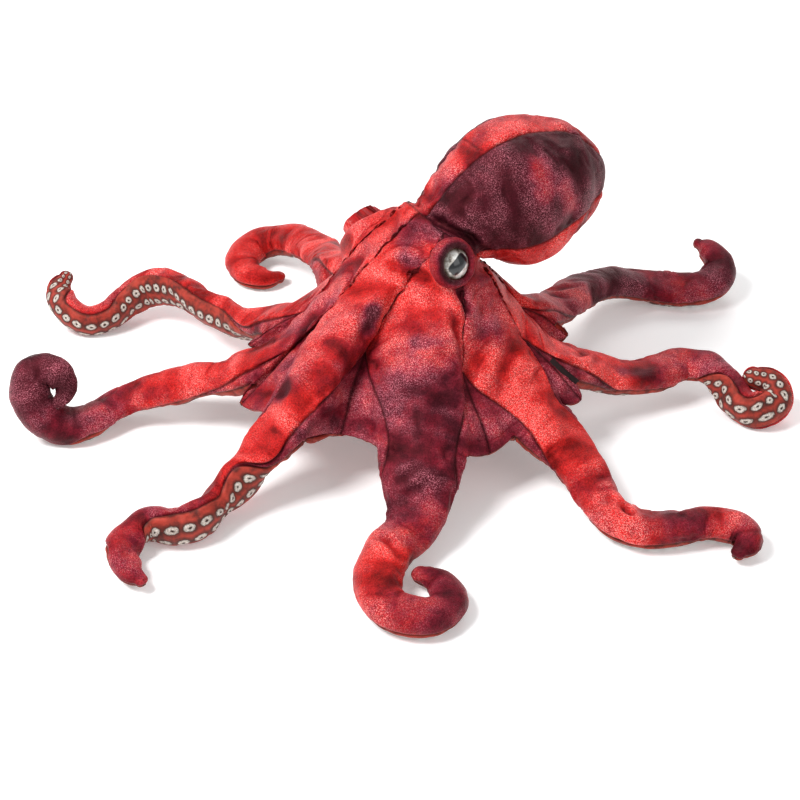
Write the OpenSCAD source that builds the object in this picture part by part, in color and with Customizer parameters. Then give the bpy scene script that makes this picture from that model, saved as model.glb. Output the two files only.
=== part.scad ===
// Stuffed velour octopus hand puppet: hollow hood over the hand, eight stuffed arms, padded mantle.
// Millimetres, +Z up. The origin is on the floor, at the centre of the hand opening.

/* [Head] */
// Radius of the hood's upper edge, where the mantle joins it
neck_r = 46; // [45:0.5:48]
// Largest radius of the mantle
mantle_r = 69; // [62:1:70]
// Diameter of each moulded eye
eye_d = 30; // [26:1:31]

/* [Arms] */
// Thickness of a stuffed arm as a share of its width
arm_fullness = 0.8; // [0.66:0.02:0.86]
// Most that an arm is thick, close to the hood
arm_thick_most = 33; // [28:1:36]
// Room between the two segments at each bend
bend_gap = 2; // [1.5:0.5:4]
// Width of the hood where an arm leaves it, as a share of the arm's width
shoulder_flare = 1.3; // [1.1:0.05:1.35]

/* [Fabric] */
// Thickness of the velour skins
velour_t = 1.4; // [1:0.1:1.8]
// Thickness of the printed underside fabric in the middle panel
panel_t = 1.6; // [1.2:0.1:2]
// Radius of the hand opening in the middle panel
opening_r = 46; // [44:0.5:48]
// Depth of the lined hand pocket above the panel
pocket_h = 108; // [90:2:112]

/* [Hidden] */
ARMS = [1, 2, 3, 4, 5, 6, 7, 8];
UP = [0, 0, 1];
BACK_UP = [0.2, 0.9, 0.35];
BACK = [0.1, 1, 0.1];
FRONT_UP = [0, -0.8, 0.6];
RIGHT_BACK = [0.2, 0.95, 0.2];
BACK_DOWN = [0.1, 0.82, -0.57];

// Each arm's centreline: [point, width, way that the velour faces]. The first point lies on the
// hood, the second is the root bend, and mid_bend says which one is the bend half way along.
arm_1 = [
  [[-10, -152, 70], 64, UP], [[-13, -192, 40], 62, UP], [[-19, -226, 24], 46, UP],
  [[-40, -259, 19], 44, UP], [[-48, -294, 17], 42, UP], [[-36, -322, 16], 38, UP],
  [[-8, -330, 15], 34, UP], [[10, -313, 14], 33, UP], [[5, -288, 12], 29, UP],
  [[-11, -277, 12], 19, UP]];
arm_2 = [
  [[-118, -125, 82], 56, UP], [[-150, -151, 54], 44, UP], [[-172, -171, 36], 41, BACK_UP],
  [[-191, -188, 25], 38, BACK_UP], [[-207, -211, 20], 39, BACK], [[-228, -219, 19], 39, BACK],
  [[-250, -218, 19], 39, BACK_UP], [[-265, -230, 18], 35, BACK_UP], [[-269, -253, 17], 29, BACK_UP],
  [[-261, -274, 14], 23, UP], [[-251, -283, 12], 14, UP]];
arm_3 = [
  [[-140, -47, 89], 58, UP], [[-185, -43, 61], 47, UP], [[-228, -34, 44], 43, UP],
  [[-268, -30, 30], 40, UP], [[-303, -38, 20], 37, UP], [[-334, -61, 16], 37, UP],
  [[-359, -68, 21], 38, FRONT_UP], [[-379, -62, 40], 38, FRONT_UP], [[-379, -50, 62], 36, FRONT_UP],
  [[-361, -46, 66], 31, FRONT_UP], [[-348, -56, 55], 23, FRONT_UP], [[-353, -66, 44], 13, FRONT_UP]];
arm_4 = [
  [[-122, 6, 98], 56, UP], [[-161, 33, 70], 45, UP], [[-193, 65, 53], 45, BACK_UP],
  [[-228, 100, 48], 44, BACK_UP], [[-262, 135, 46], 43, BACK], [[-294, 154, 38], 42, BACK],
  [[-318, 147, 27], 39, BACK], [[-338, 132, 18], 37, BACK_UP], [[-362, 124, 17], 36, BACK_UP],
  [[-385, 132, 28], 33, BACK_UP], [[-391, 144, 42], 28, BACK], [[-385, 152, 52], 16, BACK]];
arm_5 = [
  [[-72, 62, 115], 58, UP], [[-95, 121, 87], 50, UP], [[-112, 182, 62], 44, UP],
  [[-134, 233, 46], 43, UP], [[-163, 271, 31], 43, UP], [[-191, 277, 21], 41, UP],
  [[-206, 255, 16], 38, UP], [[-200, 230, 14], 34, UP], [[-182, 219, 12], 29, UP],
  [[-167, 224, 10], 18, UP]];
arm_6 = [
  [[78, 12, 102], 60, UP], [[112, 48, 74], 48, UP], [[138, 91, 58], 48, UP], [[164, 136, 45], 46, UP],
  [[196, 173, 32], 44, UP], [[235, 186, 21], 42, UP], [[274, 184, 17], 42, UP],
  [[307, 189, 21], 40, UP], [[321, 208, 33], 34, UP], [[311, 229, 42], 26, UP],
  [[302, 238, 45], 14, UP]];
arm_7 = [
  [[112, -37, 76], 57, UP], [[150, -23, 53], 51, UP], [[186, -14, 39], 46, UP],
  [[220, -1, 33], 42, UP], [[250, 15, 32], 40, UP], [[273, 8, 34], 37, UP],
  [[290, -12, 27], 35, RIGHT_BACK], [[304, -36, 19], 36, RIGHT_BACK], [[321, -43, 18], 36, BACK_DOWN],
  [[336, -32, 22], 34, BACK_DOWN], [[331, -18, 33], 30, BACK_DOWN], [[316, -15, 37], 23, BACK_DOWN]];
arm_8 = [
  [[87, -111, 62], 61, UP], [[117, -131, 43], 54, UP], [[136, -159, 31], 46, UP],
  [[149, -185, 21], 41, UP], [[164, -211, 18], 39, UP], [[188, -221, 17], 38, UP],
  [[215, -218, 16], 38, UP], [[243, -212, 15], 36, UP], [[267, -220, 14], 33, UP],
  [[273, -236, 13], 28, UP], [[263, -247, 11], 16, UP]];
arm_table = [arm_1, arm_2, arm_3, arm_4, arm_5, arm_6, arm_7, arm_8];
mid_bend = [4, 4, 4, 4, 4, 4, 4, 4];

// The hood between arm i and arm i + 1: the seam leaves the neck, forks at a point around a gusset,
// and the gusset ends in the hem. [way round the neck, fork point, middle of the hem].
gap_1 = [228, [-62, -74, 108], [-85, -132, 53]];
gap_2 = [190, [-112, -48, 112], [-180, -86, 55]];
gap_3 = [150, [-120, -14, 114], [-178, -12, 73]];
gap_4 = [112, [-90, 40, 120], [-113, 58, 80]];
gap_5 = [40, [0, 62, 122], [8, 92, 92]];
gap_6 = [345, [84, 4, 108], [136, 10, 70]];
gap_7 = [305, [84, -52, 108], [141, -80, 56]];
gap_8 = [268, [26, -102, 104], [52, -156, 49]];
gap_table = [gap_1, gap_2, gap_3, gap_4, gap_5, gap_6, gap_7, gap_8];
// Way round the neck at which each arm's top line starts
crest_turn = [248, 208, 170, 131, 76, 12, 325, 287];

// The hood's hub, from which all its fabric is offset, and the neck
hub = [-5, 0, 20];
neck = [12, 12, 185];
neck_tilt = 45;
mantle_turn = 26;
// Mantle centreline and its radius as a share of mantle_r
mantle_path = [
  [[14, 13, 187], 0.57], [[37, 23, 201], 0.78], [[59, 33, 208], 0.97], [[82, 45, 212], 1],
  [[107, 56, 214], 0.91], [[129, 66, 212], 0.74], [[145, 72, 210], 0.55], [[154, 76, 208], 0.3]];
mantle_sides = 16;

crown_rows = 8;
web_rows = 5;
crest_columns = [-0.95, -0.707, 0, 0.707, 0.95];
web_columns = [0.03, 0.25, 0.5, 0.75, 0.97];
section_turns = [180, 135, 90, 45, 0, -45, -90, -135];
// Sewing room between the velour and the printed underside, as a turn round the section
seam_turn = 4;
pocket_wall = 1.2;
hood_t = 1.4 * velour_t;
panel_z = 26;
rim_drop = panel_t + 6;
elastic_w = 10;
elastic_t = 2;
tab_l = 34;
tab_w = 10;
tab_t = 1.4;
tab_place = [123, -63, 77];
tab_turn = -12;
tab_pitch = 40;
eye_rise = 8;
eye_ball = (eye_d * eye_d / 4 + eye_rise * eye_rise) / (2 * eye_rise);
stem_r = 3;
stem_l = 11;
washer_r = 9;
washer_t = 1.5;
lid_r = 3.4;
// Where each eye sits on the hood: [centre of its back, way round, elevation]
eye_table = [[[20, -44, 182], -55, 22], [[-52, 40, 168], 132, 25]];

// ---- curves ----

function unit(v) = v / norm(v);
function lerp(a, b, s) = a + (b - a) * s;
function knot(rows, k, field) = rows[max(0, min(len(rows) - 1, k))][field];
function spline(a, b, c, d, s) =
  0.5 * (2 * b + (c - a) * s + (2 * a - 5 * b + 4 * c - d) * s * s
  + (3 * b - a - 3 * c + d) * s * s * s);
function spline_slope(a, b, c, d, s) =
  0.5 * ((c - a) + 2 * (2 * a - 5 * b + 4 * c - d) * s + 3 * (3 * b - a - 3 * c + d) * s * s);
// Point, tangent and value of a smooth path at k + s, where k counts its control points
function along(rows, k, s, field) =
  let (near = [for (step = [-1:2]) knot(rows, k + step, field)])
    spline(near[0], near[1], near[2], near[3], s);
function heading(rows, k, s) =
  unit(spline_slope(knot(rows, k - 1, 0), knot(rows, k, 0), knot(rows, k + 1, 0), knot(rows, k + 2, 0), s));
function bezier2(a, b, c, s) = (1 - s) * (1 - s) * a + 2 * s * (1 - s) * b + s * s * c;
function bezier3(a, b, c, d, s) = bezier2(lerp(a, b, s), lerp(b, c, s), lerp(c, d, s), s);
// The curve from a to c that passes through m half way
function through(a, m, c, s) = bezier2(a, 2 * m - (a + c) / 2, c, s);

// ---- solids from grids of points ----

function on_floor(p) = [p[0], p[1], max(p[2], 0)];
function grid_faces(rows, columns, first, flip) = [
  for (r = [0:rows - 2], c = [0:columns - 2], half = [0, 1])
    let (a = first + r * columns + c, b = a + 1, d = a + columns, e = d + 1)
    half == 0 ? (flip ? [a, b, e] : [a, e, b]) : (flip ? [a, e, d] : [a, d, e])];

// A wall of two triangles between the edge a to b of one face and the same edge of the other
function border(a, b, second) = [[a, b, second + b], [a, second + b, second + a]];
// A sheet with an outer and an inner face. An open one is closed along all four borders, and a
// round one joins its last column to its first.
module sheet(outer, inner) {
  rows = len(outer);
  columns = len(outer[0]);
  second = rows * columns;
  points = [for (grid = [outer, inner], row = grid, p = row) p];
  borders = concat(
    [for (c = [0:columns - 2]) each border(c, c + 1, second)],
    [for (c = [0:columns - 2]) each border((rows - 1) * columns + c + 1, (rows - 1) * columns + c, second)],
    [for (r = [0:rows - 2]) each border((r + 1) * columns, r * columns, second)],
    [for (r = [0:rows - 2]) each border((r + 1) * columns - 1, (r + 2) * columns - 1, second)]);
  polyhedron(points,
    concat(grid_faces(rows, columns, 0, false), grid_faces(rows, columns, second, true), borders));
}
function wall_faces(rows, sides, first, flip) = [
  for (r = [0:rows - 2], c = [0:sides - 1], half = [0, 1])
    let (a = first + r * sides + c, b = first + r * sides + (c + 1) % sides, d = a + sides, e = b + sides)
    half == 0 ? (flip ? [a, b, e] : [a, e, b]) : (flip ? [a, e, d] : [a, d, e])];
module round_sheet(outer, inner) {
  rows = len(outer);
  sides = len(outer[0]);
  second = rows * sides;
  last = (rows - 1) * sides;
  points = [for (grid = [outer, inner], row = grid, p = row) p];
  borders = concat(
    [for (c = [0:sides - 1]) each border(c, (c + 1) % sides, second)],
    [for (c = [0:sides - 1]) each border(last + (c + 1) % sides, last + c, second)]);
  polyhedron(points,
    concat(wall_faces(rows, sides, 0, false), wall_faces(rows, sides, second, true), borders));
}

// A filled tube through closed rings, with a flat end at each side
module filled_tube(rings) {
  sides = len(rings[0]);
  last = (len(rings) - 1) * sides;
  ends = [for (c = [1:sides - 2], half = [0, 1])
    half == 0 ? [0, c, c + 1] : [last, last + c + 1, last + c]];
  polyhedron([for (ring = rings, p = ring) p], concat(wall_faces(len(rings), sides, 0, false), ends));
}

// ---- arms ----

function arm(i) = arm_table[i - 1];
function thickness(w) = min(w * arm_fullness, arm_thick_most);
// One ring of an arm: centre, heading, way up, width, inset from the skin's outside, end scale
function arm_ring(p, t, face, w, inset, grow, turns) =
  let (n = unit(face - (face * t) * t), side = cross(t, n))
  [for (a = turns)
    on_floor(p + side * cos(a) * (w / 2 - inset) * grow
      + n * sin(a) * (thickness(w) / 2 - inset) * grow)];
function stop_of(i, last) = last ? len(arm(i)) - 1 : mid_bend[i - 1];
function bend_r(i, k) = knot(arm(i), k, 1) / 2;
// Rings of a segment from the bend at knot k to the bend or tip at knot stop
function segment_rings(i, k, stop, last, inset, turns) =
  let (rows = arm(i), p = knot(rows, k, 0), t = heading(rows, k, 0), face = knot(rows, k, 2),
       w = knot(rows, k, 1), q = knot(rows, stop, 0), tq = heading(rows, stop, 0),
       wq = knot(rows, stop, 1), reach = bend_r(i, stop) + bend_gap)
  concat(
    [for (a = [-78, -52, -26]) arm_ring(p + t * sin(a) * w / 2, t, face, w, inset, cos(a), turns)],
    [for (j = [k:stop - 1], s = [0, 0.5])
      let (c = along(rows, j, s, 0))
      if (last || (q - c) * tq > reach + 5)
      arm_ring(c, heading(rows, j, s), along(rows, j, s, 2), along(rows, j, s, 1), inset, 1, turns)],
    [last
      ? arm_ring(q, tq, knot(rows, stop, 2), wq, inset, 1, turns)
      : arm_ring(q - tq * reach, tq, knot(rows, stop, 2), wq * 1.03, inset, 1, turns)],
    last ? [arm_ring(q + tq * wq * 0.3, tq, knot(rows, stop, 2), wq, inset, 0.5, turns)] : []);

module velour_half(i, k, stop, last, turns) {
  sheet(segment_rings(i, k, stop, last, 0, turns), segment_rings(i, k, stop, last, velour_t, turns));
}
top_turns = [180, 135, 90, 45, 0];
under_turns = [-seam_turn, -45, -90, -135, seam_turn - 180];
module arm_top(i) color("crimson") velour_half(i, 1, mid_bend[i - 1], false, top_turns);
module arm_underside(i) color("sienna") velour_half(i, 1, mid_bend[i - 1], false, under_turns);
module arm_stuffing(i) color("ivory")
  filled_tube(segment_rings(i, 1, mid_bend[i - 1], false, velour_t, section_turns));
module tip_top(i) color("firebrick") velour_half(i, mid_bend[i - 1], len(arm(i)) - 1, true, top_turns);
module tip_underside(i) color("peru")
  velour_half(i, mid_bend[i - 1], len(arm(i)) - 1, true, under_turns);
module tip_stuffing(i) color("ivory")
  filled_tube(segment_rings(i, mid_bend[i - 1], len(arm(i)) - 1, true, velour_t, section_turns));

// ---- hood ----

function around(i) = (i + 7) % 8;
neck_out = [cos(mantle_turn), sin(mantle_turn), 0] * sin(neck_tilt) - UP * cos(neck_tilt);
neck_side = [-sin(mantle_turn), cos(mantle_turn), 0];
function neck_point(turn) = neck + neck_r * (cos(turn) * neck_out + sin(turn) * neck_side);
// Where the hood's part of arm i ends, one bend radius before the root bend
function shoulder(i) = knot(arm(i), 1, 0) - heading(arm(i), 1, 0) * (bend_r(i, 1) + bend_gap);
function shoulder_ring(i, inset, turns) =
  arm_ring(shoulder(i), heading(arm(i), 1, 0), UP, knot(arm(i), 1, 1) * shoulder_flare, inset, 1, turns);
function gap(i) = gap_table[around(i)];
function fork(i) = gap(i)[1];
// The seam from the neck to the fork after arm i, bowed outwards like the forehead
function seam(i, s) =
  let (a = neck_point(gap(i)[0]), b = fork(i), out = unit([b[0] - a[0], b[1] - a[1], 0]))
  bezier2(a, lerp(a, b, 0.5) + out * 4 + UP * 6, b, s);
// Borders of arm i's gore at t = 0 (neck) to 1 (shoulder): side -1 is its left, 1 its right
function gore_edge(i, side, t) =
  let (g = side < 0 ? around(i - 1) + 1 : i,
       end = shoulder_ring(i, 0, [side < 0 ? 180 : 0])[0])
  t <= 0.5 ? seam(g, t * 2)
           : bezier2(fork(g), lerp(fork(g), end, 0.5) + UP * 3, end, t * 2 - 1);
function crest(i, t) =
  let (a = neck_point(crest_turn[i - 1]), d = shoulder_ring(i, 0, [90])[0],
       out = unit([d[0] - a[0], d[1] - a[1], 0]), t_end = heading(arm(i), 1, 0),
       reach = norm(d - a) * 0.34)
  bezier3(a, a + (out * 0.55 - UP * 0.6) * reach, d - t_end * reach, d, t);
function gore_point(i, t, x) =
  let (l = gore_edge(i, -1, t), r = gore_edge(i, 1, t), mid = (l + r) / 2,
       swell = pow(1 - x * x, 1.2 - 0.7 * t))
  mid + (r - l) / 2 * x + (crest(i, t) - mid) * swell;
// The gusset after arm i: v runs from the fork to the hem, u from arm i to the next arm
function gusset_point(i, v, u) =
  let (t = 0.5 + v / 2, a = gore_edge(i, 1, t), c = gore_edge(i % 8 + 1, -1, t),
       m = bezier2(fork(i), lerp(fork(i), gap(i)[2], 0.5) + UP * 5, gap(i)[2], v))
  through(a, m, c, u);
// Fabric is offset towards the hub, so that neighbouring panels share their cut edges
function inward(p, depth) = p + unit(hub - p) * depth;
function inward_grid(grid, depth) = [for (row = grid) [for (p = row) inward(p, depth)]];

function gore_grid(i) =
  [for (k = [0:crown_rows]) [for (x = crest_columns) gore_point(i, k / crown_rows, x)]];
module hood_gores() color("red")
  for (i = ARMS) sheet(gore_grid(i), inward_grid(gore_grid(i), hood_t));

function gusset_grid(i) =
  [for (k = [0:web_rows]) [for (u = web_columns) gusset_point(i, k == 0 ? 0.04 : k / web_rows, u)]];
module web_gussets() color("darkred")
  for (i = ARMS) sheet(gusset_grid(i), inward_grid(gusset_grid(i), hood_t));

// The printed panel under the hood: its rim follows each arm's belly and each hem
function rim(i) = concat(
  [for (a = [-155, -125, -90, -50]) shoulder_ring(i, 0, [a])[0]],
  [for (u = [0, 0.25, 0.5, 0.75]) inward(gusset_point(i, 1, u), hood_t) - UP * rim_drop]);
panel_rim = [for (i = [8:-1:1]) each reverse(rim(i))];
function reverse(list) = [for (k = [len(list) - 1:-1:0]) list[k]];
function panel_ring(s) =
  [for (p = panel_rim)
    let (flat = [p[0], p[1], 0], start = unit(flat) * opening_r + UP * panel_z)
    lerp(start, p, s) - UP * (p[2] - panel_z) * s * (1 - s)];
module base_panel() color("tan")
  round_sheet([for (s = [0:0.25:1]) panel_ring(s)],
              [for (s = [0:0.25:1]) [for (p = panel_ring(s)) p + UP * panel_t]]);

module hand_pocket() color("maroon")
  translate([0, 0, panel_z + panel_t])
    rotate_extrude()
      polygon([
        [opening_r - pocket_wall, 0], [opening_r, 0], [opening_r - 2, pocket_h * 0.6],
        [opening_r - 14, pocket_h - 4], [0, pocket_h], [0, pocket_h - pocket_wall],
        [opening_r - 14 - pocket_wall / 2, pocket_h - 4 - pocket_wall],
        [opening_r - 2 - pocket_wall, pocket_h * 0.6]]);

module opening_elastic() color("dimgray")
  translate([0, 0, panel_z - elastic_w])
    difference() {
      cylinder(r = opening_r + elastic_t, h = elastic_w, $fn = 64);
      translate([0, 0, -1]) cylinder(r = opening_r, h = elastic_w + 2, $fn = 64);
    }

// The woven tab bridges the hem between the two right-hand arms
module side_tab() color("black")
  translate(tab_place) rotate([0, tab_pitch, tab_turn]) cube([tab_l, tab_t, tab_w], center = true);

// ---- eyes ----

module at_eye(e) translate(e[0]) rotate([0, 90 - e[2], e[1]]) children();
module eye() rotate_extrude($fn = 64)
  intersection() {
    union() {
      translate([0, eye_rise - eye_ball]) circle(r = eye_ball);
      translate([0, -stem_l]) square([stem_r, stem_l + 1]);
    }
    union() {
      square([eye_d / 2, eye_rise + 1]);
      translate([0, -stem_l]) square([stem_r, stem_l + 1]);
    }
  }
module eyes() color("silver") for (e = eye_table) at_eye(e) eye();
module eye_washers() color("white")
  for (e = eye_table) at_eye(e)
    translate([0, 0, -stem_l + 2])
      difference() {
        cylinder(r = washer_r, h = washer_t, $fn = 48);
        translate([0, 0, -1]) cylinder(r = stem_r + 0.05, h = washer_t + 2, $fn = 48);
      }
module eyelids() color("purple")
  for (e = eye_table) at_eye(e)
    rotate_extrude($fn = 64) translate([eye_d / 2 + lid_r + 0.4, 0]) circle(r = lid_r);

// ---- mantle ----

function mantle_ring(p, t, r) =
  let (side = unit(cross(t, UP)), n = cross(side, t))
  [for (k = [0:mantle_sides - 1])
    let (a = 360 * (k + 0.5) / mantle_sides)
    p + side * sin(a) * r + n * cos(a) * r];
function mantle_rings(inset) =
  [for (k = [0:len(mantle_path) - 1])
    let (t = k == 0 ? neck_axis : heading(mantle_path, k, 0))
    mantle_ring(mantle_path[k][0], t, mantle_path[k][1] * mantle_r - inset)];
neck_axis = cross(neck_out, neck_side);
module mantle_stuffing() color("ivory") filled_tube(mantle_rings(velour_t));
module mantle_strip(first, last) {
  sheet(
    [for (ring = mantle_rings(0)) [for (k = [first:last]) ring[k % mantle_sides]]],
    [for (ring = mantle_rings(velour_t)) [for (k = [first:last]) ring[k % mantle_sides]]]);
}
module mantle_gores() color("orangered") {
  mantle_strip(15, 16);
  mantle_strip(4, 11);
}
module mantle_side_panels() color("indigo") {
  mantle_strip(0, 4);
  mantle_strip(11, 15);
}

for (i = ARMS) {
  arm_top(i);
  arm_underside(i);
  arm_stuffing(i);
  tip_top(i);
  tip_underside(i);
  tip_stuffing(i);
}
hood_gores();
web_gussets();
base_panel();
hand_pocket();
opening_elastic();
side_tab();
eyes();
eye_washers();
eyelids();
mantle_gores();
mantle_side_panels();
mantle_stuffing();
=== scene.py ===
"""Looks of the stuffed velour octopus hand puppet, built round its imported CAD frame.

Every fabric panel is a grid of points on the curves that the CAD solids follow. The panels are
blown up together as cloth held along its seams, refined, creased and made into pieces. Lengths
in the tables are in millimetres, and the meshes are in metres.
"""

import math

import bpy
import numpy as np
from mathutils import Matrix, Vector, noise


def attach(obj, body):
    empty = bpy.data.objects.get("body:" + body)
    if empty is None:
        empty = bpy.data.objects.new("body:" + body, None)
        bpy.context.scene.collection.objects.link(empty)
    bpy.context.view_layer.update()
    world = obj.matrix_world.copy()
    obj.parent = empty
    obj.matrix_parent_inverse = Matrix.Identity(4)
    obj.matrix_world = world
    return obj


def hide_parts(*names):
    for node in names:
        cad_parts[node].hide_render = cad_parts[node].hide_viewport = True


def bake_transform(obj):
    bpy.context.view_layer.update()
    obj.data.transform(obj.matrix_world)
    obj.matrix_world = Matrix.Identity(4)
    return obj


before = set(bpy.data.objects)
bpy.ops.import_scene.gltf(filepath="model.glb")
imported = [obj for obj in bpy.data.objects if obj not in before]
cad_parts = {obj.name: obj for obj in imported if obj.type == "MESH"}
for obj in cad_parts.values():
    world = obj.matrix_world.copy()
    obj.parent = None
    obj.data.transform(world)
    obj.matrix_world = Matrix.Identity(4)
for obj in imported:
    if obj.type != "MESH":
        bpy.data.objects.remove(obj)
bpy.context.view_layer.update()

MM = 0.001
UP = (0, 0, 1)
BACK_UP = (0.2, 0.9, 0.35)
BACK = (0.1, 1, 0.1)
FRONT_UP = (0, -0.8, 0.6)
RIGHT_BACK = (0.2, 0.95, 0.2)
BACK_DOWN = (0.1, 0.82, -0.57)

# ---- the design, as the CAD has it ----

# Rows of an arm: x, y, z, width and the way that its velour faces. Row 0 lies on the hood, row 1
# is the root bend and row 4 the bend half way along.
ARMS = {
    1: [
        (-10, -152, 70, 64, UP), (-13, -192, 40, 62, UP), (-19, -226, 24, 46, UP),
        (-40, -259, 19, 44, UP), (-48, -294, 17, 42, UP), (-36, -322, 16, 38, UP),
        (-8, -330, 15, 34, UP), (10, -313, 14, 33, UP), (5, -288, 12, 29, UP), (-11, -277, 12, 19, UP),
    ],
    2: [
        (-118, -125, 82, 56, UP), (-150, -151, 54, 44, UP), (-172, -171, 36, 41, BACK_UP),
        (-191, -188, 25, 38, BACK_UP), (-207, -211, 20, 39, BACK), (-228, -219, 19, 39, BACK),
        (-250, -218, 19, 39, BACK_UP), (-265, -230, 18, 35, BACK_UP), (-269, -253, 17, 29, BACK_UP),
        (-261, -274, 14, 23, UP), (-251, -283, 12, 14, UP),
    ],
    3: [
        (-140, -47, 89, 58, UP), (-185, -43, 61, 47, UP), (-228, -34, 44, 43, UP),
        (-268, -30, 30, 40, UP), (-303, -38, 20, 37, UP), (-334, -61, 16, 37, UP),
        (-359, -68, 21, 38, FRONT_UP), (-379, -62, 40, 38, FRONT_UP), (-379, -50, 62, 36, FRONT_UP),
        (-361, -46, 66, 31, FRONT_UP), (-348, -56, 55, 23, FRONT_UP), (-353, -66, 44, 13, FRONT_UP),
    ],
    4: [
        (-122, 6, 98, 56, UP), (-161, 33, 70, 45, UP), (-193, 65, 53, 45, BACK_UP),
        (-228, 100, 48, 44, BACK_UP), (-262, 135, 46, 43, BACK), (-294, 154, 38, 42, BACK),
        (-318, 147, 27, 39, BACK), (-338, 132, 18, 37, BACK_UP), (-362, 124, 17, 36, BACK_UP),
        (-385, 132, 28, 33, BACK_UP), (-391, 144, 42, 28, BACK), (-385, 152, 52, 16, BACK),
    ],
    5: [
        (-72, 62, 115, 58, UP), (-95, 121, 87, 50, UP), (-112, 182, 62, 44, UP),
        (-134, 233, 46, 43, UP), (-163, 271, 31, 43, UP), (-191, 277, 21, 41, UP),
        (-206, 255, 16, 38, UP), (-200, 230, 14, 34, UP), (-182, 219, 12, 29, UP),
        (-167, 224, 10, 18, UP),
    ],
    6: [
        (78, 12, 102, 60, UP), (112, 48, 74, 48, UP), (138, 91, 58, 48, UP), (164, 136, 45, 46, UP),
        (196, 173, 32, 44, UP), (235, 186, 21, 42, UP), (274, 184, 17, 42, UP), (307, 189, 21, 40, UP),
        (321, 208, 33, 34, UP), (311, 229, 42, 26, UP), (302, 238, 45, 14, UP),
    ],
    7: [
        (112, -37, 76, 57, UP), (150, -23, 53, 51, UP), (186, -14, 39, 46, UP), (220, -1, 33, 42, UP),
        (250, 15, 32, 40, UP), (273, 8, 34, 37, UP), (290, -12, 27, 35, RIGHT_BACK),
        (304, -36, 19, 36, RIGHT_BACK), (321, -43, 18, 36, BACK_DOWN), (336, -32, 22, 34, BACK_DOWN),
        (331, -18, 33, 30, BACK_DOWN), (316, -15, 37, 23, BACK_DOWN),
    ],
    8: [
        (87, -111, 62, 61, UP), (117, -131, 43, 54, UP), (136, -159, 31, 46, UP),
        (149, -185, 21, 41, UP), (164, -211, 18, 39, UP), (188, -221, 17, 38, UP),
        (215, -218, 16, 38, UP), (243, -212, 15, 36, UP), (267, -220, 14, 33, UP),
        (273, -236, 13, 28, UP), (263, -247, 11, 16, UP),
    ],
}
ROOT_BEND = 1
MID_BEND = 4
ARM_FULLNESS = 0.8
ARM_THICK_MOST = 33
BEND_GAP = 2
SHOULDER_FLARE = 1.3
# The hood between arm i and the next: way round the neck, fork point, middle of the hem
GAPS = {
    1: (228, (-62, -74, 108), (-85, -132, 53)),
    2: (190, (-112, -48, 112), (-180, -86, 55)),
    3: (150, (-120, -14, 114), (-178, -12, 73)),
    4: (112, (-90, 40, 120), (-113, 58, 80)),
    5: (40, (0, 62, 122), (8, 92, 92)),
    6: (345, (84, 4, 108), (136, 10, 70)),
    7: (305, (84, -52, 108), (141, -80, 56)),
    8: (268, (26, -102, 104), (52, -156, 49)),
}
CREST_TURN = {1: 248, 2: 208, 3: 170, 4: 131, 5: 76, 6: 12, 7: 325, 8: 287}
NECK = np.array([12.0, 12, 185])
NECK_R = 46
NECK_TILT = math.radians(45)
MANTLE_TURN = math.radians(26)
MANTLE_R = 69
MANTLE_PATH = [
    (14, 13, 187, 0.57), (37, 23, 201, 0.78), (59, 33, 208, 0.97), (82, 45, 212, 1),
    (107, 56, 214, 0.91), (129, 66, 212, 0.74), (145, 72, 210, 0.55), (154, 76, 208, 0.3),
]
EYE_D = 30
EYE_RISE = 8
SOCKET_R = 16
EYES = {"right": ((20, -44, 182), -55, 22), "left": ((-52, 40, 168), 132, 25)}
OPENING_R = 46
PANEL_Z = 26
PANEL_T = 1.6
POCKET_H = 108
ELASTIC_W = 10
ELASTIC_T = 2
# The woven tab on the hem: centre, length, width, its turn and its pitch
TAB = ((123, -63, 77), 34, 10, -12, 40)

# ---- the looks ----

# Spacing of the grids' points before they are refined
STEP = 3.2
GORE_ROWS = 56
STRIP_TURNS = 22
PRINT_TURNS = 20
# Half the breadth of the printed strip, in widths of its arm
PRINT_HALF = 0.65
FLAP_STEPS = 6
WEB_STEPS = 9
# Width and length of the bands of lustre, which lie across each strip
BAND = (52, 19)
# The gusset's share of an arm's section at the shoulder, as a turn, and how far it runs on
FLAP_TURN = math.radians(40)
FLAP_LENGTH = 82
# Past the shoulder the velour wraps under the arm, by this turn and from this far on
SEAM_DROP = math.radians(20)
DROP_LENGTH = 55

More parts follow.
